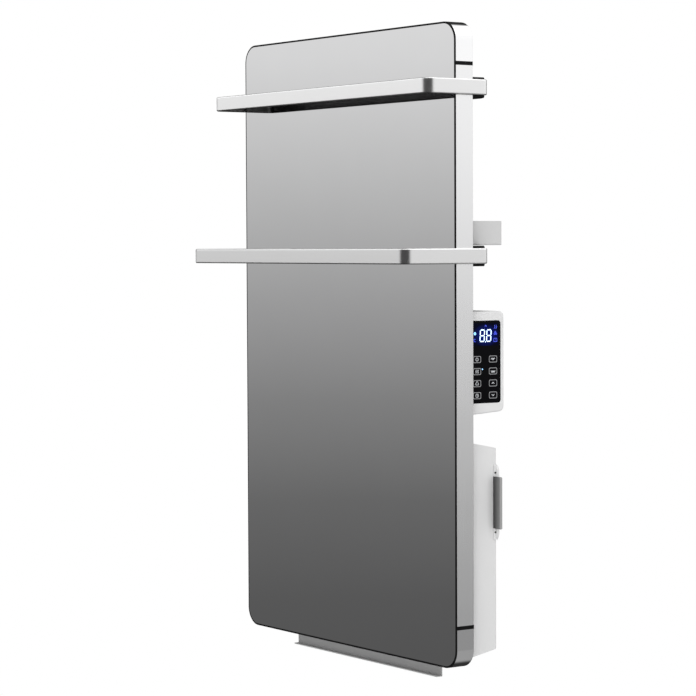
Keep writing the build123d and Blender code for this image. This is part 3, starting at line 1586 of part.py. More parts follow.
# Outlet flap and its two pins
plate_back = flap_axis_from_wall
plate_front = flap_axis_from_wall + flap_thickness
with BuildPart() as air_flap:
    with BuildSketch(across(-flap_half_length)) as flap_section:
        with Locations((-flap_axis_from_wall, up(flap_axis_height))):
            Circle(flap_barrel_radius)
        side_polygon(
            (plate_back, flap_axis_height),
            (plate_front, flap_axis_height),
            (plate_front, flap_lower_edge),
            (plate_back, flap_lower_edge),
        )
        side_polygon(
            (plate_back, flap_lower_edge),
            (plate_front + flap_lip, flap_lower_edge),
            (plate_front + flap_lip, flap_lower_edge + flap_thickness * flap_foot_share),
            (plate_back, flap_lower_edge + flap_thickness * flap_foot_share),
        )
        with Locations((-flap_axis_from_wall, up(flap_axis_height))):
            Circle(flap_pin_radius + pressed, mode=Mode.SUBTRACT)
    extrude(amount=2 * flap_half_length)
    lower_corners = air_flap.edges().filter_by(Axis.Y).group_by(Axis.Z)[0]
    fillet(lower_corners, flap_thickness * flap_corner_share)
save(air_flap.part, "air_flap")

with BuildPart() as flap_pins:
    for side in (-1, 1):
        inner = side * (flap_half_length - flap_pin_grip)
        outer = side * (lug_outer + flap_pin_end)
        with BuildSketch(across(min(inner, outer))):
            with Locations((-flap_axis_from_wall, up(flap_axis_height))):
                Circle(flap_pin_radius)
        extrude(amount=abs(outer - inner))
save(flap_pins.part, "flap_pins")
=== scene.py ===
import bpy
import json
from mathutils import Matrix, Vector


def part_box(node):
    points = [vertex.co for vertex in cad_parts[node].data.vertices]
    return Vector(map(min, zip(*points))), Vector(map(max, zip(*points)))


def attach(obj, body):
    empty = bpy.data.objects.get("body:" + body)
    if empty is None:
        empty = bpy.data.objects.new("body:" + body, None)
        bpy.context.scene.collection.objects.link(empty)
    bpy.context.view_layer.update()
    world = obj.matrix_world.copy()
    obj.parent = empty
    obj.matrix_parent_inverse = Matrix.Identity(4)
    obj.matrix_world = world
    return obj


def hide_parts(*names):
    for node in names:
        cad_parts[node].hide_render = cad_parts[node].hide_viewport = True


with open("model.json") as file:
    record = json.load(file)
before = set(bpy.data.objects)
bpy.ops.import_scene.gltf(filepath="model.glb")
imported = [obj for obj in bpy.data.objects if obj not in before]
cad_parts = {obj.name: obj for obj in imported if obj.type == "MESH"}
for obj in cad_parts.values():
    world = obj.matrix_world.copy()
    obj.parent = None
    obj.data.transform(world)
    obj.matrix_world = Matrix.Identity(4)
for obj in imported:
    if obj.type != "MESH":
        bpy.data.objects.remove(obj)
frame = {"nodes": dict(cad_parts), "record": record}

"""Looks of a wall-hung electric towel warmer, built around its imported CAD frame.

All lengths are in metres in the row frame: X to the right, Y into the wall, Z up, with the origin on
the wall at the middle of the wall rail's screw holes. Heights above the panel's lower edge are turned
into Z by up().
"""

import json
import logging
import math
from dataclasses import dataclass, field
from enum import Enum
from typing import Callable, Sequence

import bpy
import numpy as np
from mathutils import Matrix, Vector

LOG = logging.getLogger("towel_warmer")
# Height of the rail's screw holes above the panel's lower edge, and Y of the mirror glass's front
RAIL_HEIGHT = 0.675
GLASS_FRONT = -0.105

Colour = tuple[float, float, float]
Point2 = tuple[float, float]
Point3 = tuple[float, float, float]
WHITE: Colour = (1.0, 1.0, 1.0)
Socket = bpy.types.NodeSocket
Material = bpy.types.Material
Piece = bpy.types.Object

# Part of the fine pattern in a finish, next to its broad clouding, and the clouding's scale
FINE_PART = 0.6
BROAD_SCALE = 9.0
# Change of a finish's roughness to both sides
ROUGH_CHANGE = 0.08
# Inward or downward part of a normal over which painted shade comes onto a bar's face
TURNED_AWAY = (0.45, 0.80)
# Stretch before the glass over which the bars' painted shade fades out
PAINTED_SHADE_STRETCH = 0.007


def up(height_mm: float | np.ndarray) -> float | np.ndarray:
    """Z in metres of a height in millimetres above the panel's lower edge."""
    return height_mm / 1000.0 - RAIL_HEIGHT


def grey(srgb: float) -> Colour:
    """Linear colour of a neutral display value.

    Args:
        srgb: display value from 0 to 255.

    Returns:
        The same neutral as a linear colour.
    """
    value = srgb / 255.0
    linear = value / 12.92 if value <= 0.04045 else ((value + 0.055) / 1.055) ** 2.4
    return (linear, linear, linear)


class Graph:
    """Short calls for building one shader node tree."""

    def __init__(self, tree: bpy.types.NodeTree) -> None:
        """Empty a tree and keep it to be filled."""
        self.tree = tree
        tree.nodes.clear()

    def node(self, kind: str, inputs: dict | None = None, **settings: str) -> bpy.types.Node:
        """Add a node.

        Args:
            kind: the node's type name.
            inputs: a number, a colour or an output socket for each input, by its name or count.
            settings: attributes to set on it.

        Returns:
            The new node.
        """
        made = self.tree.nodes.new(kind)
        for name, value in settings.items():
            setattr(made, name, value)
        for place, value in (inputs or {}).items():
            target = made.inputs[place]
            if isinstance(value, Socket):
                self.tree.links.new(value, target)
            else:
                target.default_value = (*value, 1.0) if target.type == "RGBA" else value
        return made

    def place(self, scale: Point3 = (1.0, 1.0, 1.0)) -> Socket:
        """Object coordinates times a scale along each axis."""
        coordinates = self.node("ShaderNodeTexCoord").outputs["Object"]
        return self.node("ShaderNodeMapping", {"Vector": coordinates, "Scale": scale}).outputs["Vector"]

    def axes(self, vector: Socket) -> list[Socket]:
        """X, Y and Z of a vector."""
        return list(self.node("ShaderNodeSeparateXYZ", {"Vector": vector}).outputs)

    def noise(self, vector: Socket, scale: float, detail: float = 3.0) -> Socket:
        """Fractal noise around one half, with its scale and number of octaves."""
        inputs = {"Vector": vector, "Scale": scale, "Detail": detail}
        return self.node("ShaderNodeTexNoise", inputs).outputs["Fac"]

    def span(self, value: Socket, low: float, high: float, start: float = 0.3, end: float = 0.7) -> Socket:
        """Spread a value so that start gives low and end gives high, and hold it between them."""
        inputs = {"Value": value, "From Min": start, "From Max": end, "To Min": low, "To Max": high}
        return self.node("ShaderNodeMapRange", inputs).outputs["Result"]

    def math(self, kind: str, first: object, second: object = 0.0) -> Socket:
        """One arithmetic step on one or two values."""
        return self.node("ShaderNodeMath", {0: first, 1: second}, operation=kind).outputs[0]

    def mix(self, share: object, first: object, second: object, blend: str = "MIX") -> Socket:
        """Blend two colours, with a share of the second one."""
        made = self.node("ShaderNodeMix", {0: share, 6: first, 7: second}, data_type="RGBA", blend_type=blend)
        return made.outputs[2]

    def curve(self, value: Socket, stops: Sequence[Point2], full: float = 1.0) -> Socket:
        """Level that runs in straight lines from stop to stop.

        Args:
            value: the input.
            stops: input and level at each stop, in rising order.
            full: level that is given as 1.

        Returns:
            The level.
        """
        first, last = stops[0][0], stops[-1][0]
        made = self.node("ShaderNodeValToRGB", {"Fac": self.span(value, 0.0, 1.0, first, last)})
        elements = made.color_ramp.elements
        while len(elements) < len(stops):
            elements.new(0.5)
        for element, (position, level) in zip(elements, stops):
            element.position = (position - first) / (last - first)
            element.color = (level / full, level / full, level / full, 1.0)
        return made.outputs["Color"]

    def bump(self, height: Socket, depth: float) -> Socket:
        """Normal from a height, with its depth in metres."""
        inputs = {"Height": height, "Strength": 1.0, "Distance": depth}
        return self.node("ShaderNodeBump", inputs).outputs["Normal"]

    def light(self, kind: str, colour: object, strength: float = 1.0) -> Socket:
        """Background or emission shader of a colour and a strength."""
        return self.node(kind, {"Color": colour, "Strength": strength}).outputs[0]

    def either(self, share: Socket, first: Socket, second: Socket) -> Socket:
        """Blend two shaders, with a share of the second one."""
        return self.node("ShaderNodeMixShader", {0: share, 1: first, 2: second}).outputs["Shader"]

    def show(self, shader: Socket, kind: str = "ShaderNodeOutputMaterial") -> None:
        """Send a shader to a new output of the given kind."""
        self.node(kind, {"Surface": shader})


def new_material(name: str) -> tuple[Material, Graph]:
    """Make an empty material.

    Args:
        name: its name.

    Returns:
        The material and its graph.
    """
    made = bpy.data.materials.new(name)
    made.use_nodes = True
    return made, Graph(made.node_tree)


class Grain(Enum):
    """Surface pattern of a finish: its name, its stretch along each axis and its scale."""

    SMOOTH = ("smooth", (1.0, 1.0, 1.0), 14.0)
    BRUSHED_X = ("brushed along X", (6.0, 900.0, 900.0), 1.0)
    BRUSHED_Z = ("brushed along Z", (900.0, 900.0, 6.0), 1.0)
    FINE_TEXTURE = ("fine moulded texture", (1.0, 1.0, 1.0), 1400.0)
    SPANGLE = ("zinc spangle", (1.0, 1.0, 1.0), 60.0)
    FIBRE = ("matted fibre", (1.0, 1.0, 1.0), 420.0)


@dataclass(frozen=True)
class PaintedShade:
    """Painted shade and painted highlight that change along X inside a box, for the shade in a recess and
    across a bent tab.

    Attributes:
        stops: X in metres and brightness, in rising order.
        low: lowest Y and Z of the box.
        high: highest Y and Z of the box.
    """

    stops: tuple[Point2, ...]
    low: Point2 = (-1.0, -1.0)
    high: Point2 = (1.0, 1.0)

    def apply(self, graph: Graph, colour: Socket) -> Socket:
        """Paint shade and highlight onto a colour inside the box.

        Args:
            graph: the material's graph.
            colour: the plain colour.

        Returns:
            The shaded colour.
        """
        x, *others = graph.axes(graph.place())
        inside: object = 1.0
        for position, low, high in zip(others, self.low, self.high):
            inside = graph.math("MULTIPLY", inside, graph.math("GREATER_THAN", position, low))
            inside = graph.math("MULTIPLY", inside, graph.math("LESS_THAN", position, high))
        # Painted shade and highlight: the colour is multiplied by the ramp along X inside the box
        return graph.mix(inside, colour, graph.curve(x, self.stops), "MULTIPLY")


@dataclass(frozen=True)
class Finish:
    """One surface finish.

    Attributes:
        colour: linear base colour.
        rough: roughness.
        metal: 1 for bare metal, 0 otherwise.
        grain: surface pattern.
        change: how much the colour varies.
        depth: depth of the surface pattern in metres.
        specular: strength of a non-metal's reflection.
        shaded: brightness of the painted shade on the faces that look at the panel or down, in front of the
            panel.
        shade: a stretch of painted shade and painted highlight, if it has one.
    """

    colour: Colour
    rough: float
    metal: float = 0.0
    grain: Grain = Grain.SMOOTH
    change: float = 0.04
    depth: float = 0.0
    specular: float = 0.5
    shaded: float = 1.0
    shade: PaintedShade | None = None

    def _colour(self, graph: Graph, share: Socket) -> Socket:
        """Base colour, with painted shade: the finish's shade stretch, and painted shade on the bars' inner
        and under faces.

        Args:
            graph: the material's graph.
            share: where the colour lies between its darker and lighter tone.

        Returns:
            The colour.
        """
        dark = tuple(channel * (1.0 - self.change) for channel in self.colour)
        light = tuple(min(1.0, channel * (1.0 + self.change)) for channel in self.colour)
        tone = graph.mix(share, dark, light)
        # Painted shade and highlight of the finish's shade stretch
        if self.shade is not None:
            tone = self.shade.apply(graph, tone)
        if self.shaded >= 1.0:
            return tone
        # Painted shade: faces that look at the panel or down, in front of the glass, darken to the shaded
        # level
        _, inward, upward = graph.axes(graph.node("ShaderNodeNewGeometry").outputs["True Normal"])
        turned = graph.math("MAXIMUM", inward, graph.math("MULTIPLY", upward, -1.0))
        _, y, _ = graph.axes(graph.place())
        painted_shade_share = graph.math("MULTIPLY", graph.span(turned, 0.0, 1.0, *TURNED_AWAY),
                            graph.span(y, 1.0, 0.0, GLASS_FRONT - PAINTED_SHADE_STRETCH, GLASS_FRONT))
        return graph.mix(painted_shade_share, tone, tuple(channel * self.shaded for channel in self.colour))

    def _pattern(self, graph: Graph) -> Socket:
        """Fine pattern of the grain: one level for each zinc crystal, or else stretched noise.

        Args:
            graph: the material's graph.

        Returns:
            The pattern's level.
        """
        _, stretch, scale = self.grain.value
        if self.grain is not Grain.SPANGLE:
            return graph.noise(graph.place(stretch), scale)
        cells = graph.node("ShaderNodeTexVoronoi", {"Vector": graph.place(stretch), "Scale": scale})
        return graph.node("ShaderNodeSeparateColor", {"Color": cells.outputs["Color"]}).outputs["Red"]

    def material(self, name: str) -> Material:
        """Build the finish as a material.

        Args:
            name: the material's name.

        Returns:
            The material.
        """
        made, graph = new_material(name)
        pattern = self._pattern(graph)
        clouds = graph.noise(graph.place(), BROAD_SCALE)
        tone = graph.math("ADD", graph.math("MULTIPLY", pattern, FINE_PART),
                          graph.math("MULTIPLY", clouds, 1.0 - FINE_PART))
        spread = (0.0, 1.0) if self.grain is Grain.SPANGLE else (0.35, 0.65)
        smoother, rougher = self.rough * (1.0 - ROUGH_CHANGE), self.rough * (1.0 + ROUGH_CHANGE)
        inputs = {
            "Base Color": self._colour(graph, graph.span(tone, 0.0, 1.0, *spread)),
            "Roughness": graph.span(tone, smoother, rougher, *spread),
            "Metallic": self.metal,
            "Specular IOR Level": self.specular,
        }
        if self.depth > 0.0:
            inputs["Normal"] = graph.bump(pattern, self.depth)
        graph.show(graph.node("ShaderNodeBsdfPrincipled", inputs).outputs["BSDF"])
        return made


def make_mesh(name: str, points: np.ndarray, faces: Sequence[Sequence[int]],
              material: Material, smooth: bool = True) -> Piece:
    """Make an object from points and faces.

    Args:
        name: the object's name.
        points: N by 3 array in the row frame.
        faces: vertex numbers of each face.
        material: its finish.
        smooth: shade it smoothly.

    Returns:
        The new object, at the origin.
    """
    mesh = bpy.data.meshes.new(name)
    mesh.from_pydata(points.reshape(-1, 3).tolist(), [], [tuple(int(i) for i in face) for face in faces])
    mesh.validate()
    mesh.polygons.foreach_set("use_smooth", [smooth] * len(mesh.polygons))
    mesh.materials.append(material)
    made = bpy.data.objects.new(name, mesh)
    bpy.context.scene.collection.objects.link(made)
    return made


def grid_faces(rows: int, columns: int, wrap: bool = False) -> list[tuple[int, int, int, int]]:
    """Faces of a grid of points stored row by row.

    Args:
        rows: number of rows.
        columns: number of columns.
        wrap: also join the last column to the first.

    Returns:
        Quads.
    """
    row, column = np.meshgrid(np.arange(rows - 1), np.arange(columns if wrap else columns - 1), indexing="ij")
    nxt = (column + 1) % columns
    quads = np.stack([row * columns + column, row * columns + nxt,
                      (row + 1) * columns + nxt, (row + 1) * columns + column], axis=-1)
    return [tuple(quad) for quad in quads.reshape(-1, 4).tolist()]


def rounded_outline(width: float, height: float, radius: float, steps: int = 8) -> np.ndarray:
    """Closed outline of a rounded rectangle around the origin, anticlockwise.

    Args:
        width: full width.
        height: full height.
        radius: corner radius.
        steps: points per corner.

    Returns:
        N by 2 points.
    """
    corners = [(1, 1, 0.0), (-1, 1, 90.0), (-1, -1, 180.0), (1, -1, 270.0)]
    points = []
    for sign_x, sign_y, start in corners:
        angles = np.radians(start + np.linspace(0.0, 90.0, steps))
        centre = np.array([sign_x * (width / 2 - radius), sign_y * (height / 2 - radius)])
        points.append(centre + radius * np.stack([np.cos(angles), np.sin(angles)], axis=-1))
    return np.concatenate(points)


@dataclass
class Camera:
    """The camera at the photograph's place.

    Attributes:
        place: where it stands.
        yaw: turn about Z in degrees.
        pitch: tilt below level in degrees.
        roll: turn about its own view in degrees.
        sensor: width of the sensor in millimetres.
        focus: focal length in picture widths.
    """

    place: Point3 = (3.3353, -2.4020, -0.0174)
    yaw: float = 55.376
    pitch: float = 2.384
    roll: float = -0.244
    sensor: float = 36.0
    focus: float = 2479.0 / 696.0

    def build(self) -> Piece:
        """Add the camera to the scene.

        Returns:
            The camera.
        """
        data = bpy.data.cameras.new("camera")
        data.lens = self.sensor * self.focus
        data.sensor_width = self.sensor
        data.clip_start = 0.05
        data.clip_end = 60.0
        yaw, pitch, roll = (math.radians(angle) for angle in (self.yaw, self.pitch, self.roll))
        tilt = Matrix.Rotation(math.pi / 2 - pitch, 4, "X")
        turn = Matrix.Rotation(yaw, 4, "Z") @ tilt @ Matrix.Rotation(roll, 4, "Z")
        made = bpy.data.objects.new("camera", data)
        made.matrix_world = Matrix.Translation(self.place) @ turn
        bpy.context.scene.collection.objects.link(made)
        bpy.context.scene.camera = made
        return made


@dataclass
class Studio:
    """Floor, world light and soft lamps.

    Attributes:
        floor_z: height of the floor.
        lamps: name, place, edge length and watts of each lamp.
        aim: what the lamps are aimed at.
        front_room: brightness by sine of elevation, seen in what faces the front.
        side_room: the same for what faces the right.
        corner: half width of the change from one room to the other.
        zones: how much of the rooms is lit, by compass angle in degrees.
        sky_zones: the same for the upper part.
        sky_rise: sines of elevation between which the upper part begins.
        brightest: level that the ramps give as 1.
        dark: brightness of the dark zones.
        sky: brightness of the room's upper part.
        ambient: strength of the even light on matt surfaces.
    """

    floor_z: float = -1.35
    lamps: tuple[tuple[str, Point3, float, float], ...] = (
        ("key", (2.6, -3.2, 2.6), 2.4, 95.0),
        ("fill", (4.2, 0.8, 0.9), 2.0, 22.0),
        ("front", (-1.8, -3.6, 1.2), 2.2, 22.0),
    )
    aim: Point3 = (0.0, -0.05, -0.15)
    front_room: tuple[Point2, ...] = (
        (-0.30, 0.123), (-0.165, 0.135), (-0.142, 0.146), (-0.103, 0.203), (-0.0625, 0.327),
        (-0.022, 0.503), (0.018, 0.703), (0.042, 0.835), (0.074, 1.01), (0.16, 1.30), (0.30, 1.45),
    )
    side_room: tuple[Point2, ...] = (
        (-0.30, 0.34), (-0.165, 0.29), (-0.142, 0.285), (-0.103, 0.34), (-0.0625, 0.50),
        (-0.022, 0.755), (0.018, 0.97), (0.042, 1.10), (0.074, 1.06), (0.16, 1.08), (0.30, 1.1),
    )
    corner: float = 0.2
    zones: tuple[Point2, ...] = (
        (-180.0, 0.0), (-168.0, 1.0), (-122.0, 1.0), (-96.0, 0.0), (2.0, 0.0), (22.0, 1.0),
        (80.0, 1.0), (108.0, 0.0), (180.0, 0.0),
    )
    sky_zones: tuple[Point2, ...] = (
        (-180.0, 0.0), (-150.0, 0.0), (-100.0, 1.0), (98.0, 1.0), (122.0, 0.0), (180.0, 0.0),
    )
    sky_rise: Point2 = (0.42, 0.68)
    brightest: float = 1.5
    dark: float = 0.03
    sky: float = 1.5
    ambient: float = 0.62

    def build(self) -> list[Piece]:
        """Add world, floor and lamps.

        Returns:
            The floor.
        """
        self._world()
        floor = self._floor()
        for lamp in self.lamps:
            self._lamp(*lamp)
        return [floor]

    def _room(self, graph: Graph) -> Socket:
        """What metal and glass see: two graded walls, dark gaps between them and a bright sky.

        Args:
            graph: the world's graph.

        Returns:
            The room's colour.
        """
        seen_from = graph.node("ShaderNodeNewGeometry").outputs["Incoming"]
        x, y, z = (graph.math("MULTIPLY", part, -1.0) for part in graph.axes(seen_from))
        front, side = (graph.curve(z, room, self.brightest) for room in (self.front_room, self.side_room))
        seen = graph.mix(graph.span(x, 0.0, 1.0, -self.corner, self.corner), front, side)
        walls = graph.node("ShaderNodeVectorMath", {0: seen, "Scale": self.brightest}, operation="SCALE")
        compass = graph.math("DEGREES", graph.math("ARCTAN2", y, x))
        dark = (self.dark, self.dark, self.dark)
        level = graph.mix(graph.curve(compass, self.zones), dark, walls.outputs["Vector"])
        above = graph.mix(graph.curve(compass, self.sky_zones), dark, (self.sky, self.sky, self.sky))
        return graph.mix(graph.span(z, 0.0, 1.0, *self.sky_rise), level, above)

    def _world(self) -> None:
        """Even light for matt surfaces, a graded room for metal and glass, white for the camera."""
        world = bpy.data.worlds.new("room")
        bpy.context.scene.world = world
        world.use_nodes = True
        graph = Graph(world.node_tree)
        path = graph.node("ShaderNodeLightPath")
        room = graph.light("ShaderNodeBackground", self._room(graph))
        matt = graph.light("ShaderNodeBackground", WHITE, self.ambient)
        white = graph.light("ShaderNodeBackground", WHITE)
        lit = graph.either(path.outputs["Is Glossy Ray"], matt, room)
        graph.show(graph.either(path.outputs["Is Camera Ray"], lit, white), "ShaderNodeOutputWorld")

    def _floor(self) -> Piece:
        """A plain pale floor, white to the camera: a flat grid at one height.

        Returns:
            The floor.
        """
        made, graph = new_material("floor")
        matt = graph.node("ShaderNodeBsdfDiffuse", {"Color": (0.8, 0.8, 0.8)}).outputs["BSDF"]
        clear = graph.node("ShaderNodeBsdfTransparent").outputs["BSDF"]
        white = graph.light("ShaderNodeEmission", WHITE)
        path = graph.node("ShaderNodeLightPath")
        lit = graph.either(path.outputs["Is Glossy Ray"], matt, clear)
        graph.show(graph.either(path.outputs["Is Camera Ray"], lit, white))
        across = np.linspace(-5.0, 5.0, 9)
        x, y = np.meshgrid(across, across, indexing="ij")
        points = np.stack([x, y, np.full_like(x, self.floor_z)], axis=-1)
        faces = grid_faces(len(across), len(across))
        floor = make_mesh("floor", points, [tuple(reversed(face)) for face in faces], made, smooth=False)
        return floor

    def _lamp(self, name: str, place: Point3, size: float, power: float) -> None:
        """Add one large soft lamp aimed at the panel.

        Args:
            name: the lamp's name.
            place: where it hangs.
            size: edge length.
            power: watts.
        """
        data = bpy.data.lights.new(name, "AREA")
        data.shape = "SQUARE"
        data.size = size
        data.energy = power
        data.specular_factor = 0.0
        lamp = bpy.data.objects.new(name, data)
        lamp.location = place
        lamp.rotation_euler = (Vector(self.aim) - Vector(place)).to_track_quat("-Z", "Y").to_euler()
        lamp.visible_glossy = False
        bpy.context.scene.collection.objects.link(lamp)


class Layer(Enum):
    """Red, green, blue and strength of each kind of lit print."""

    DIGIT = (0.62, 0.80, 1.0, 2.2)
    GLOW = (0.006, 0.030, 0.50, 0.30)
    ICON = (0.09, 0.13, 0.85, 1.0)
    KEY = (0.30, 0.30, 0.31, 0.9)
    MARK = (0.55, 0.56, 0.58, 1.0)
    LAMP = (0.30, 0.60, 1.0, 2.0)


@dataclass
class TouchPanelGraphics:
    """Lit digits, small symbols and key outlines on the black touch glass.

    A place on the glass is the distance behind the panel's glass front and the height above the
    panel's lower edge, both in millimetres.

    Attributes:
        lift: how far one layer of print stands proud of the next, in metres.
        display: middle of the display.
        display_size: its width and height.
        glow: middle of the glow round the digits.
        glow_reach: distances in metres between which the glow fades.
        squeeze: how much faster the glow fades upwards than sideways.
        digits: middles of the two digits.
        digit_size: width and height of a digit.
        lean: a digit's sideways shift per unit of height.
        point: place of the decimal point.
        symbol_columns: places of the front and rear column of symbols.
        symbol_rows: heights of the middle and lower row of symbols.
        line: width of a symbol's lines.
        heating_lamp: place of the small lamp beside the keys.
        keys_near: front and rear edge of the front column of keys.
        keys_far: the same for the column nearer the wall.
        key_heights: heights of the key rows.
        key_tall: height of a key.
    """

    lift: float = 0.00006
    display: Point2 = (67.0, 517.4)
    display_size: Point2 = (52.0, 35.5)
    glow: Point2 = (68.5, 516.0)
    glow_reach: Point2 = (0.009, 0.027)
    squeeze: float = 1.5
    digits: tuple[Point2, Point2] = ((61.3, 515.6), (74.2, 515.6))
    digit_size: Point2 = (10.4, 20.0)
    lean: float = 0.06
    point: Point2 = (67.6, 506.0)
    symbol_columns: Point2 = (47.0, 87.0)
    symbol_rows: Point2 = (519.0, 508.5)
    line: float = 0.9
    heating_lamp: Point2 = (61.5, 463.4)
    keys_near: Point2 = (43.3, 58.8)
    keys_far: Point2 = (74.5, 90.3)
    key_heights: tuple[float, ...] = (478.8, 460.1, 441.4, 422.6)
    key_tall: float = 10.5

    def __post_init__(self) -> None:
        """Read the glass's outer face from the frame and make the prints' materials."""
        self.face_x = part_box("touch_glass")[1].x
        self.made: list[Piece] = []
        self.materials = {layer: self._print(layer) for layer in Layer}

    def _print(self, layer: Layer) -> Material:
        """Emissive print of one layer.

        Args:
            layer: which layer.

        Returns:
            The material.
        """
        *colour, strength = layer.value
        made, graph = new_material("print_" + layer.name.lower())
        change = graph.span(graph.noise(graph.place(), 900.0, 2.0), 0.9, 1.1)
        lit = graph.mix(change, tuple(channel * 0.9 for channel in colour), tuple(colour))
        body = 0.3
        if layer is Layer.GLOW:
            lit = graph.mix(self._fade(graph), lit, (0.0, 0.0, 0.002))
            body = 0.02
        shader = graph.node("ShaderNodeBsdfPrincipled", {
            "Base Color": tuple(channel * body for channel in colour), "Roughness": 0.35,
            "Specular IOR Level": 0.05, "Emission Color": lit, "Emission Strength": strength,
        })
        graph.show(shader.outputs["BSDF"])
        return made

    def _fade(self, graph: Graph) -> Socket:
        """Darkening away from the middle of the digits.

        Args:
            graph: the material's graph.

        Returns:
            0 in the middle and 1 at the display's edge.
        """
        _, y, z = self._points(np.array([self.glow]))[0]
        ends = {0: graph.place((0.0, 1.0, self.squeeze)), 1: (0.0, y, z * self.squeeze)}
        distance = graph.node("ShaderNodeVectorMath", ends, operation="DISTANCE")
        return graph.span(distance.outputs["Value"], 0.0, 1.0, *self.glow_reach)

    def _points(self, flat: np.ndarray, level: int = 1) -> np.ndarray:
        """Put flat places on the touch glass.

        Args:
            flat: N by 2 places.
            level: how many lifts above the glass.

        Returns:
            N by 3 points in the row frame.
        """
        x = np.full(len(flat), self.face_x + self.lift * level)
        return np.stack([x, GLASS_FRONT + flat[:, 0] / 1000.0, up(flat[:, 1])], axis=-1)

    def _fill(self, name: str, outlines: Sequence[np.ndarray], layer: Layer, level: int = 1) -> None:
        """Filled shapes, each one face inside its own outline.

        Args:
            name: object name.
            outlines: closed outlines.
            layer: brightness.
            level: how many lifts above the glass.
        """
        faces, start = [], 0
        for outline in outlines:
            faces.append(tuple(range(start, start + len(outline))))
            start += len(outline)
        points = self._points(np.concatenate(outlines), level)
        made = make_mesh(name, points, faces, self.materials[layer], smooth=False)
        for polygon in made.data.polygons:
            if polygon.normal.x < 0:
                polygon.flip()
        made.data.update()
        self.made.append(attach(made, "panel"))

    def _ring(self, outline: np.ndarray, width: float) -> list[np.ndarray]:
        """Quads that make a thin line along the inside of a closed outline.

        Args:
            outline: closed outline around its centre.
            width: line width.

        Returns:
            One quad outline for each edge.
        """
        centre = outline.mean(axis=0)
        reach = np.abs(outline - centre).max(axis=0)
        inner = centre + (outline - centre) * (1.0 - width / reach)
        following, inner_following = (np.roll(ring, -1, axis=0) for ring in (outline, inner))
        return list(np.stack([outline, following, inner_following, inner], axis=1))

    def _stroke(self, path: Sequence[Point2] | np.ndarray, width: float) -> list[np.ndarray]:
        """Quads along an open path, each a stretch widened to both sides and a little longer.

        Args:
            path: its points.
            width: line width.

        Returns:
            One quad for each stretch.
        """
        points = np.array(path, float)
        along = np.diff(points, axis=0)
        along /= np.linalg.norm(along, axis=1, keepdims=True)
        side = np.stack([-along[:, 1], along[:, 0]], axis=-1) * width / 2
        first = points[:-1] - along * width * 0.35
        last = points[1:] + along * width * 0.35
        return list(np.stack([first - side, last - side, last + side, first + side], axis=1))

    def _digit(self, centre: Point2, lit: str = "abcdefg") -> list[np.ndarray]:
        """Seven-segment digit made of six-sided bars, sheared by its lean.

        Args:
            centre: its middle.
            lit: letters a to g of the lit segments.

        Returns:
            The bars.
        """
        inset, half_thick, gap = 1.1, 0.82, 0.40
        half_w, half_h = (size / 2 - inset for size in self.digit_size)
        ends = {
            "a": ((-half_w, half_h), (half_w, half_h)), "b": ((half_w, half_h), (half_w, 0)),
            "c": ((half_w, 0), (half_w, -half_h)), "d": ((-half_w, -half_h), (half_w, -half_h)),
            "e": ((-half_w, 0), (-half_w, -half_h)), "f": ((-half_w, half_h), (-half_w, 0)),
            "g": ((-half_w, 0), (half_w, 0)),
        }
        bars = []
        for name in lit:
            a, b = (np.array(end, float) for end in ends[name])
            along = (b - a) / np.linalg.norm(b - a)
            side = np.array([-along[1], along[0]]) * half_thick
            a, b = a + along * gap, b - along * gap
            bar = np.array([a, a + along + side, b - along + side, b, b - along - side, a + along - side])
            bar[:, 0] += bar[:, 1] * self.lean
            bars.append(bar + centre)
        return bars

    def _arc(self, centre: Point2, radius: float, start: float = 0.0, end: float = 360.0,
             steps: int = 14) -> np.ndarray:
        """Points along an arc: the centre plus the radius times cosine and sine of the angle."""
        angles = np.radians(np.linspace(start, end, steps))
        return np.stack([np.cos(angles), np.sin(angles)], axis=-1) * radius + centre

    def build(self) -> list[Piece]:
        """Make the display's glow, digits and symbols, and the eight keys.

        Returns:
            The prints.
        """
        self._fill("display_glow", [rounded_outline(*self.display_size, 2.0) + self.display], Layer.GLOW)
        bars = [bar for middle in self.digits for bar in self._digit(middle)]
        self._fill("display_digits", bars, Layer.DIGIT, 3)
        self._fill("display_point", [rounded_outline(1.8, 1.8, 0.8) + self.point], Layer.DIGIT, 3)
        self._symbols()
        self._keys()
        return self.made

    def _symbols(self) -> None:
        """Small lit symbols round the digits: lamp, moon, arrow, fan, steam and a framed bar."""
        near, far = self.symbol_columns
        middle, low = self.symbol_rows
        self._fill("display_lamp_symbol", self._stroke(self._arc((near, middle), 1.6), 1.3), Layer.LAMP, 2)
        shapes = self._stroke(self._arc((near - 0.2, low), 2.0, 60, 300), self.line)
        shapes += self._stroke([(66.5, 530.0), (68.0, 531.8), (69.5, 530.0)], self.line)
        for angle in (90, 210, 330):
            leaf = self._arc((far, middle), 1.7, angle, angle, 1)[0]
            shapes += self._stroke(self._arc(leaf, 1.3, steps=9), 0.8)
        shapes += self._stroke([(84.5, 526.5), (86.5, 528.5), (85.5, 531.5)], self.line)
        shapes += self._stroke([(88.0, 526.0), (89.8, 528.5), (88.6, 531.5)], self.line)
        shapes += self._ring(rounded_outline(7.0, 6.0, 1.0, 4) + (far, low), 0.8)
        shapes += self._stroke([(far, low - 0.3), (far, low + 1.7)], 0.7)
        self._fill("display_symbols", shapes, Layer.ICON, 2)
        self._fill("heating_lamp", [self._arc(self.heating_lamp, 1.1, 0, 345, 16)], Layer.LAMP, 2)

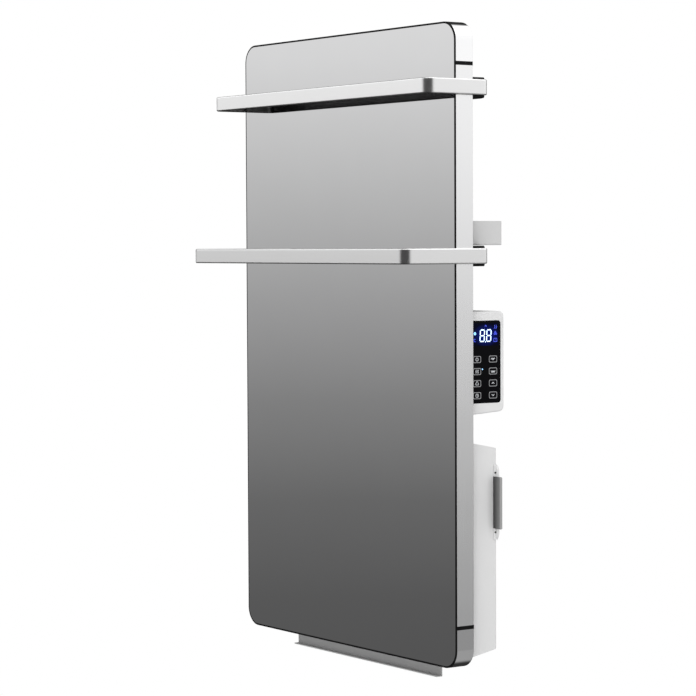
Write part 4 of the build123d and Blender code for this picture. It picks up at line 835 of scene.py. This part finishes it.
    def _keys(self) -> None:
        """Eight key outlines with a simple symbol each."""
        rows = self.key_heights
        near, far = (sum(column) / 2 for column in (self.keys_near, self.keys_far))
        outlines = []
        for low, high in (self.keys_near, self.keys_far):
            for height in rows:
                key = rounded_outline(high - low, self.key_tall, 2.4, 6) + ((low + high) / 2, height)
                outlines += self._ring(key, 0.85)
        marks = self._stroke(self._arc((near, rows[0]), 2.4, 130, 410), 0.8)
        marks += self._stroke([(near, rows[0] + 1.0), (near, rows[0] + 3.2)], 0.8)
        rise = np.linspace(0.0, 5.2, 8)
        for shift in (-2.2, 0.0, 2.2):
            sway = near + shift + 0.5 * np.sin(1.6 * rise)
            marks += self._stroke(np.stack([sway, rows[1] - 2.6 + rise], axis=-1), 0.75)
        for angle in (90, 210, 330):
            leaf = self._arc((near, rows[2]), 1.6, angle, angle, 1)[0]
            marks += self._stroke(self._arc(leaf, 1.5, angle - 80, angle + 110, 8), 0.8)
        marks += self._stroke(self._arc((near, rows[3]), 2.7, steps=20), 0.7)
        marks += self._stroke([(near, rows[3] + 1.7), (near, rows[3]), (near + 1.4, rows[3] - 0.8)], 0.7)
        for shift in (-2.4, 0.0, 2.4):
            hook = self._arc((far + shift, rows[0]), 1.2, 20, 200 if shift else 340, 8)
            cup = self._arc((far + shift, rows[1]), 1.3, 160, 380, 8)
            marks += self._stroke(hook, self.line) + self._stroke(cup, self.line)
        marks += self._stroke([(far - 3.0, rows[1] - 1.8), (far + 3.0, rows[1] - 1.8)], 0.8)
        for row, way in ((rows[2], 1.0), (rows[3], -1.0)):
            arrow = [(far - 2.2, row - way), (far, row + 1.2 * way), (far + 2.2, row - way)]
            marks += self._stroke(arrow, self.line)
        self._fill("key_outlines", outlines, Layer.KEY)
        self._fill("key_marks", marks, Layer.MARK)


@dataclass
class Finishes:
    """Gives every CAD node its finish.

    Attributes:
        table: finish of each material slot.
        special: finish of single nodes that differ from their slot.
    """

    table: dict[str, Finish] = field(default_factory=lambda: {
        "mirror": Finish((0.641, 0.641, 0.645), 0.012, 1.0, change=0.006),
        "black_rubber": Finish(
            (0.003, 0.003, 0.0033), 0.6, grain=Grain.FINE_TEXTURE, depth=0.00002, specular=0.15,
        ),
        "silver_profile": Finish((0.90, 0.90, 0.905), 0.22, 1.0, Grain.BRUSHED_Z, 0.02, 0.000003),
        "polished_cap": Finish((0.90, 0.90, 0.905), 0.10, 1.0, Grain.SMOOTH, 0.01),
        # shaded paints shade on the bars' inner faces and undersides
        "bar_metal": Finish((0.95, 0.95, 0.95), 0.34, 1.0, Grain.BRUSHED_X, 0.012, 0.000001, shaded=0.10),
        "black_plastic": Finish(
            (0.006, 0.006, 0.0065), 0.5, grain=Grain.FINE_TEXTURE, depth=0.00003, specular=0.2,
        ),
        "zinc_screw": Finish((0.55, 0.56, 0.57), 0.34, 1.0, Grain.SPANGLE, 0.08),
        "grey_paint": Finish(grey(210), 0.46, grain=Grain.FINE_TEXTURE, depth=0.00002),
        "white_plastic": Finish(grey(229), 0.44, grain=Grain.FINE_TEXTURE, change=0.015, depth=0.00002),
        "black_glass": Finish((0.002, 0.002, 0.0028), 0.05, change=0.1, specular=0.06),
        "display": Finish((0.01, 0.02, 0.10), 0.2),
        "board": Finish((0.012, 0.10, 0.045), 0.4, grain=Grain.BRUSHED_X, change=0.2),
        "film": Finish((0.28, 0.13, 0.04), 0.35, grain=Grain.BRUSHED_X, change=0.2),
        "insulation": Finish((0.62, 0.58, 0.47), 0.9, grain=Grain.FIBRE, change=0.2, depth=0.0004),
        "zinc_sheet": Finish((0.62, 0.63, 0.65), 0.36, 1.0, Grain.SPANGLE, 0.10),
        "grey_plastic": Finish(grey(104), 0.45, grain=Grain.FINE_TEXTURE, depth=0.00003),
        "flap_plastic": Finish(grey(188), 0.34, grain=Grain.FINE_TEXTURE, depth=0.00002),
        "mesh": Finish((0.02, 0.02, 0.021), 0.7, grain=Grain.FIBRE, change=0.2),
        "fan_plastic": Finish((0.05, 0.052, 0.055), 0.4, grain=Grain.FINE_TEXTURE, depth=0.00002),
        "steel": Finish((0.56, 0.56, 0.57), 0.25, 1.0, Grain.BRUSHED_X, 0.06),
        "fins": Finish((0.70, 0.70, 0.71), 0.30, 1.0, Grain.BRUSHED_Z, 0.05),
        "ceramic": Finish((0.55, 0.48, 0.36), 0.7, grain=Grain.FIBRE, change=0.1, depth=0.00005),
        "bronze": Finish((0.45, 0.28, 0.12), 0.35, 1.0, Grain.SPANGLE, 0.12),
        # The frame's slot is named for a red rocker, and the rocker is black
        "red_rocker": Finish((0.015, 0.015, 0.016), 0.22, change=0.1),
    })
    special: dict[str, Finish] = field(default_factory=lambda: {
        "lock_screw": Finish((0.012, 0.012, 0.013), 0.5, grain=Grain.FINE_TEXTURE, depth=0.00003),
        # Painted shade in the finger recess beside the filter's tab, darker towards the tab
        "fan_housing": Finish(
            grey(227), 0.44, grain=Grain.FINE_TEXTURE, change=0.015, depth=0.00002,
            shade=PaintedShade(
                ((0.20, 1.0), (0.25, 0.30), (0.278, 0.30), (0.2815, 0.42), (0.2845, 0.74), (0.2858, 1.0)),
                (-0.060, up(196.0)), (-0.0154, up(291.0)),
            ),
        ),
        # Painted shade on the tab's inner face and a painted highlight on its outer lip
        "filter_tab": Finish(
            grey(150), 0.30, grain=Grain.BRUSHED_Z, change=0.03, depth=0.000004,
            shade=PaintedShade(
                ((0.284, 0.14), (0.29, 0.17), (0.295, 0.42), (0.30, 0.62), (0.305, 0.95), (0.3065, 1.2)),
            ),
        ),
    })

    def apply(self) -> dict[str, Material]:
        """Put the finishes on the CAD nodes.

        Returns:
            The materials by name.
        """
        slots = {entry["node"]: entry["material_slot"] for entry in frame["record"]["subparts"]}
        built: dict[str, Material] = {}
        for name, obj in frame["nodes"].items():
            key = name if name in self.special else slots[name]
            if key not in built:
                finish = self.special[name] if name in self.special else self.table[key]
                built[key] = finish.material(key)
            obj.data.materials.clear()
            obj.data.materials.append(built[key])
        return built


@dataclass
class WovenMesh:
    """Woven threads of the dust filter, in place of the solid sheet.

    Attributes:
        pitch: distance between threads.
        thread: thread radius.
        sides: sides of a thread's section.
    """

    pitch: float = 0.0040
    thread: float = 0.00022
    sides: int = 4

    def _threads(self, along: np.ndarray, across: np.ndarray, middle: float,
                 turned: bool) -> tuple[np.ndarray, np.ndarray]:
        """All threads of one direction as tubes round a sine that passes over and under the others.

        Args:
            along: positions on a thread.
            across: positions of the threads.
            middle: Y of the mesh's middle.
            turned: threads run along Z rather than along X.

        Returns:
            Points and faces.
        """
        row = np.arange(len(across))[:, None, None]
        wave = self.thread * np.cos(np.pi * (along[None, :, None] - along[0]) / self.pitch + np.pi * row)
        wave = -wave if turned else wave
        angle = np.linspace(0, 2 * np.pi, self.sides, endpoint=False)[None, None, :] + np.pi / 4
        shape = (len(across), len(along), self.sides)
        run = np.broadcast_to(along[None, :, None], shape)
        side = across[:, None, None] + self.thread * np.cos(angle) + np.zeros(shape)
        lift = wave + self.thread * np.sin(angle)
        x, z = (side, run) if turned else (run, side)
        points = np.stack([x, lift + middle, z], axis=-1).reshape(-1, 3)
        quads = np.array(grid_faces(len(along), self.sides, wrap=True))
        size = len(along) * self.sides
        faces = (quads[None] + (np.arange(len(across)) * size)[:, None, None]).reshape(-1, 4)
        return points, faces if turned else faces[:, ::-1]

    def build(self, material: Material) -> Piece:
        """Make the mesh and let it stand for the solid sheet.

        Args:
            material: the thread's finish.

        Returns:
            The woven mesh.
        """
        low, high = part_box("filter_mesh")
        middle = (low.y + high.y) / 2
        half = self.pitch / 2
        x = np.arange(low.x + half, high.x - self.thread, self.pitch)
        z = np.arange(low.z + half, high.z - self.thread, self.pitch)
        long_x, long_z = (np.arange(line[0] - half + self.thread, line[-1] + half, half) for line in (x, z))
        first, first_faces = self._threads(long_x, z, middle, False)
        second, second_faces = self._threads(long_z, x, middle, True)
        faces = np.concatenate([first_faces, second_faces + len(first)]).tolist()
        made = make_mesh("woven_mesh", np.concatenate([first, second]), faces, material)
        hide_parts("filter_mesh")
        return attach(made, "filter")


@dataclass
class BlowerWheel:
    """Cross-flow wheel with curved blades, discs and hubs, in place of the CAD wheel.

    Attributes:
        blades: number of blades.
        tip: radius of the blades' outer edge.
        root: radius of their inner edge.
        sweep: how far a blade leans back, in degrees.
        thick: thickness in its middle.
        discs: number of supporting discs.
        disc: thickness of a disc.
        rim: radius of a disc.
        bevel: bevel of its rim.
        shaft_bore: radius of the end discs' bore.
        open_bore: radius of the other discs' bore.
    """

    blades: int = 24
    tip: float = 0.0196
    root: float = 0.0136
    sweep: float = 22.0
    thick: float = 0.0009
    discs: int = 5
    disc: float = 0.0012
    rim: float = 0.0200
    bevel: float = 0.0003
    shaft_bore: float = 0.00305
    open_bore: float = 0.0128

    def _blade(self) -> np.ndarray:
        """Closed section of one blade: an arc that leans back, thickest in its middle.

        Returns:
            N by 2 points.
        """
        share = np.linspace(0.0, 1.0, 9)
        radius = self.root + (self.tip - self.root) * share
        lean = np.radians(self.sweep) * share**1.6
        half = self.thick / 2 * np.sqrt(np.clip(np.sin(np.pi * np.clip(share, 0.04, 0.96)), 0.0, 1.0))
        inner, outer = (
            np.stack([radius * np.cos(angle), radius * np.sin(angle)], axis=-1)
            for angle in (lean - half / radius, lean + half / radius)
        )
        return np.concatenate([inner, outer[::-1]])

    def _turned(self, profile: Sequence[Point2], steps: int = 64) -> tuple[np.ndarray, np.ndarray]:
        """Closed profile of (x, radius) turned about the axis.

        Args:
            profile: the closed profile.
            steps: points round the axis.

        Returns:
            Points and quads.
        """
        outline = np.array(profile)
        angle = np.linspace(0, 2 * np.pi, steps, endpoint=False)
        x = np.broadcast_to(outline[None, :, 0], (steps, len(outline)))
        y = outline[None, :, 1] * np.cos(angle)[:, None]
        z = outline[None, :, 1] * np.sin(angle)[:, None]
        quads = np.array(grid_faces(steps + 1, len(outline), wrap=True)) % (steps * len(outline))
        return np.stack([x, y, z], axis=-1).reshape(-1, 3), quads

    def build(self, material: Material) -> Piece:
        """Make the wheel round its shaft.

        Args:
            material: the moulded finish.

        Returns:
            The wheel.
        """
        low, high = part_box("fan_wheel")
        centre = np.array([0.0, (low.y + high.y) / 2, (low.z + high.z) / 2])
        section = self._blade()
        count = len(section)
        front = np.arange(count)
        front_next = np.roll(front, -1)
        walls = np.stack([front, front_next, count + front_next, count + front], axis=-1)
        points, faces, start = [], [], 0
        for turn in np.linspace(0, 2 * np.pi, self.blades, endpoint=False):
            spun = section @ np.array([[np.cos(turn), np.sin(turn)], [-np.sin(turn), np.cos(turn)]])
            for x in (low.x + self.disc, high.x - self.disc):
                points.append(np.column_stack([np.full(count, x), spun]))
            faces += (start + walls).tolist()
            faces.append((start + front[::-1]).tolist())
            faces.append((start + count + front).tolist())
            start += 2 * count
        for index, x in enumerate(np.linspace(low.x, high.x - self.disc, self.discs)):
            bore = self.shaft_bore if index in (0, self.discs - 1) else self.open_bore
            end, waist = x + self.disc, self.rim - self.bevel
            profile = [(x, bore), (x, waist), (x + self.bevel, self.rim),
                       (end - self.bevel, self.rim), (end, waist), (end, bore)]
            ring_points, ring_faces = self._turned(profile)
            points.append(ring_points)
            faces += (ring_faces + start).tolist()
            start += len(ring_points)
        made = make_mesh("blower_wheel", np.concatenate(points) + centre, faces, material, smooth=False)
        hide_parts("fan_wheel")
        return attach(made, "fan")


@dataclass
class CrossRecessShade:
    """Painted shade of the cross recesses in the screw heads: flat dark crosses on the heads in place of
    hollows.

    Attributes:
        arm: half length of the cross.
        width: half width of an arm.
        proud: height above the head.
        large: size of the crosses on the larger screws.
        reach: how far a head's faces lie from its middle at most.
        step: how far they lie from each other in depth at most.
        least: least area of a head in square metres.
    """

    arm: float = 0.0016
    width: float = 0.00034
    proud: float = 0.00004
    large: float = 1.35
    reach: float = 0.005
    step: float = 0.0004
    least: float = 1.2e-5

    def _cross(self) -> np.ndarray:
        """Outline of a cross: one tapered arm of three points, turned by quarters.

        Returns:
            Twelve points with X and Z.
        """
        tip = self.width * 0.8
        quarter = np.array([[self.width, self.width], [tip, self.arm], [-tip, self.arm]])
        turns = [(math.cos(angle), math.sin(angle)) for angle in np.radians([0.0, 90.0, 180.0, 270.0])]
        return np.concatenate([quarter @ np.array([[c, s], [-s, c]]) for c, s in turns])

    def build(self, material: Material) -> Piece:
        """Put a dark cross of painted shade on each screw head that faces the wall.

        Args:
            material: the dark finish that paints the recess's shade.

        Returns:
            All crosses as one piece.
        """
        cross = self._cross()
        flat = np.column_stack([cross[:, 0], np.zeros(len(cross)), cross[:, 1]])
        points, faces = [], []
        for node, scale in (("clamp_screws", self.large), ("small_screws", 1.0), ("box_screws", self.large)):
            for centre in self._heads(node):
                start = len(cross) * len(faces)
                points.append(flat * scale + centre + (0.0, self.proud, 0.0))
                faces.append(tuple(reversed(range(start, start + len(cross)))))
        made = make_mesh("cross_recesses", np.concatenate(points), faces, material, smooth=False)
        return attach(made, "panel")

    def _heads(self, node: str) -> list[np.ndarray]:
        """Middles of the head faces that look at the wall.

        Args:
            node: the CAD node that holds the screws.

        Returns:
            One point for each screw.
        """
        found: list[tuple[float, np.ndarray]] = []
        for polygon in frame["nodes"][node].data.polygons:
            if polygon.normal.y < 0.99:
                continue
            spot = np.array(polygon.center)
            for index, (area, total) in enumerate(found):
                apart = total / area - spot
                if np.linalg.norm(apart[[0, 2]]) < self.reach and abs(apart[1]) < self.step:
                    found[index] = (area + polygon.area, total + spot * polygon.area)
                    break
            else:
                found.append((polygon.area, spot * polygon.area))
        return [total / area for area, total in found if area > self.least]


@dataclass
class GlandRibs:
    """Fine grip ribs round the cord gland's dome nut.

    Attributes:
        ribs: number of ribs.
        root: radius between the ribs.
        rise: height of a rib.
        start: distance from the dome's end to the ribs.
        length: length of the ribs.
    """

    ribs: int = 30
    root: float = 0.0083
    rise: float = 0.0005
    start: float = 0.0022
    length: float = 0.0060

    def build(self, material: Material) -> Piece:
        """Make a fluted sleeve that hugs the nut: a cosine round it, tapered to both ends.

        Args:
            material: the nut's finish.

        Returns:
            The sleeve.
        """
        low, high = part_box("cable_gland")
        centre = np.array([0.0, (low.y + high.y) / 2, (low.z + high.z) / 2])
        angle = np.linspace(0, 2 * np.pi, self.ribs * 8, endpoint=False)
        share = np.linspace(0.0, 1.0, 7)
        taper = np.sin(np.pi * share) ** 0.4
        radius = self.root + self.rise * taper[:, None] * (0.5 + 0.5 * np.cos(angle * self.ribs))[None, :]
        x = np.broadcast_to((low.x + self.start + self.length * share)[:, None], radius.shape)
        points = np.stack([x, radius * np.cos(angle), radius * np.sin(angle)], axis=-1) + centre
        faces = [tuple(reversed(face)) for face in grid_faces(len(share), len(angle), wrap=True)]
        made = make_mesh("gland_ribs", points, faces, material)
        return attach(made, "panel")


def main() -> None:
    """Build the pieces in order and report each."""
    logging.basicConfig(level=logging.INFO, format="%(message)s")
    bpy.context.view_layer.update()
    bpy.context.scene.view_settings.view_transform = "Standard"
    finishes = Finishes().apply()
    LOG.info("finishes: %d", len(finishes))
    steps: list[tuple[str, Callable[[], object]]] = [
        ("touch panel print", lambda: len(TouchPanelGraphics().build())),
        ("woven filter mesh", lambda: WovenMesh().build(finishes["mesh"]).name),
        ("blower wheel", lambda: BlowerWheel().build(finishes["fan_plastic"]).name),
        ("screw recesses", lambda: CrossRecessShade().build(finishes["black_plastic"]).name),
        ("gland ribs", lambda: GlandRibs().build(finishes["grey_plastic"]).name),
        ("studio", lambda: len(Studio().build())),
        ("camera", lambda: Camera().build().name),
    ]
    for name, step in steps:
        LOG.info("%s: %s", name, step())


if __name__ == "__main__":
    main()
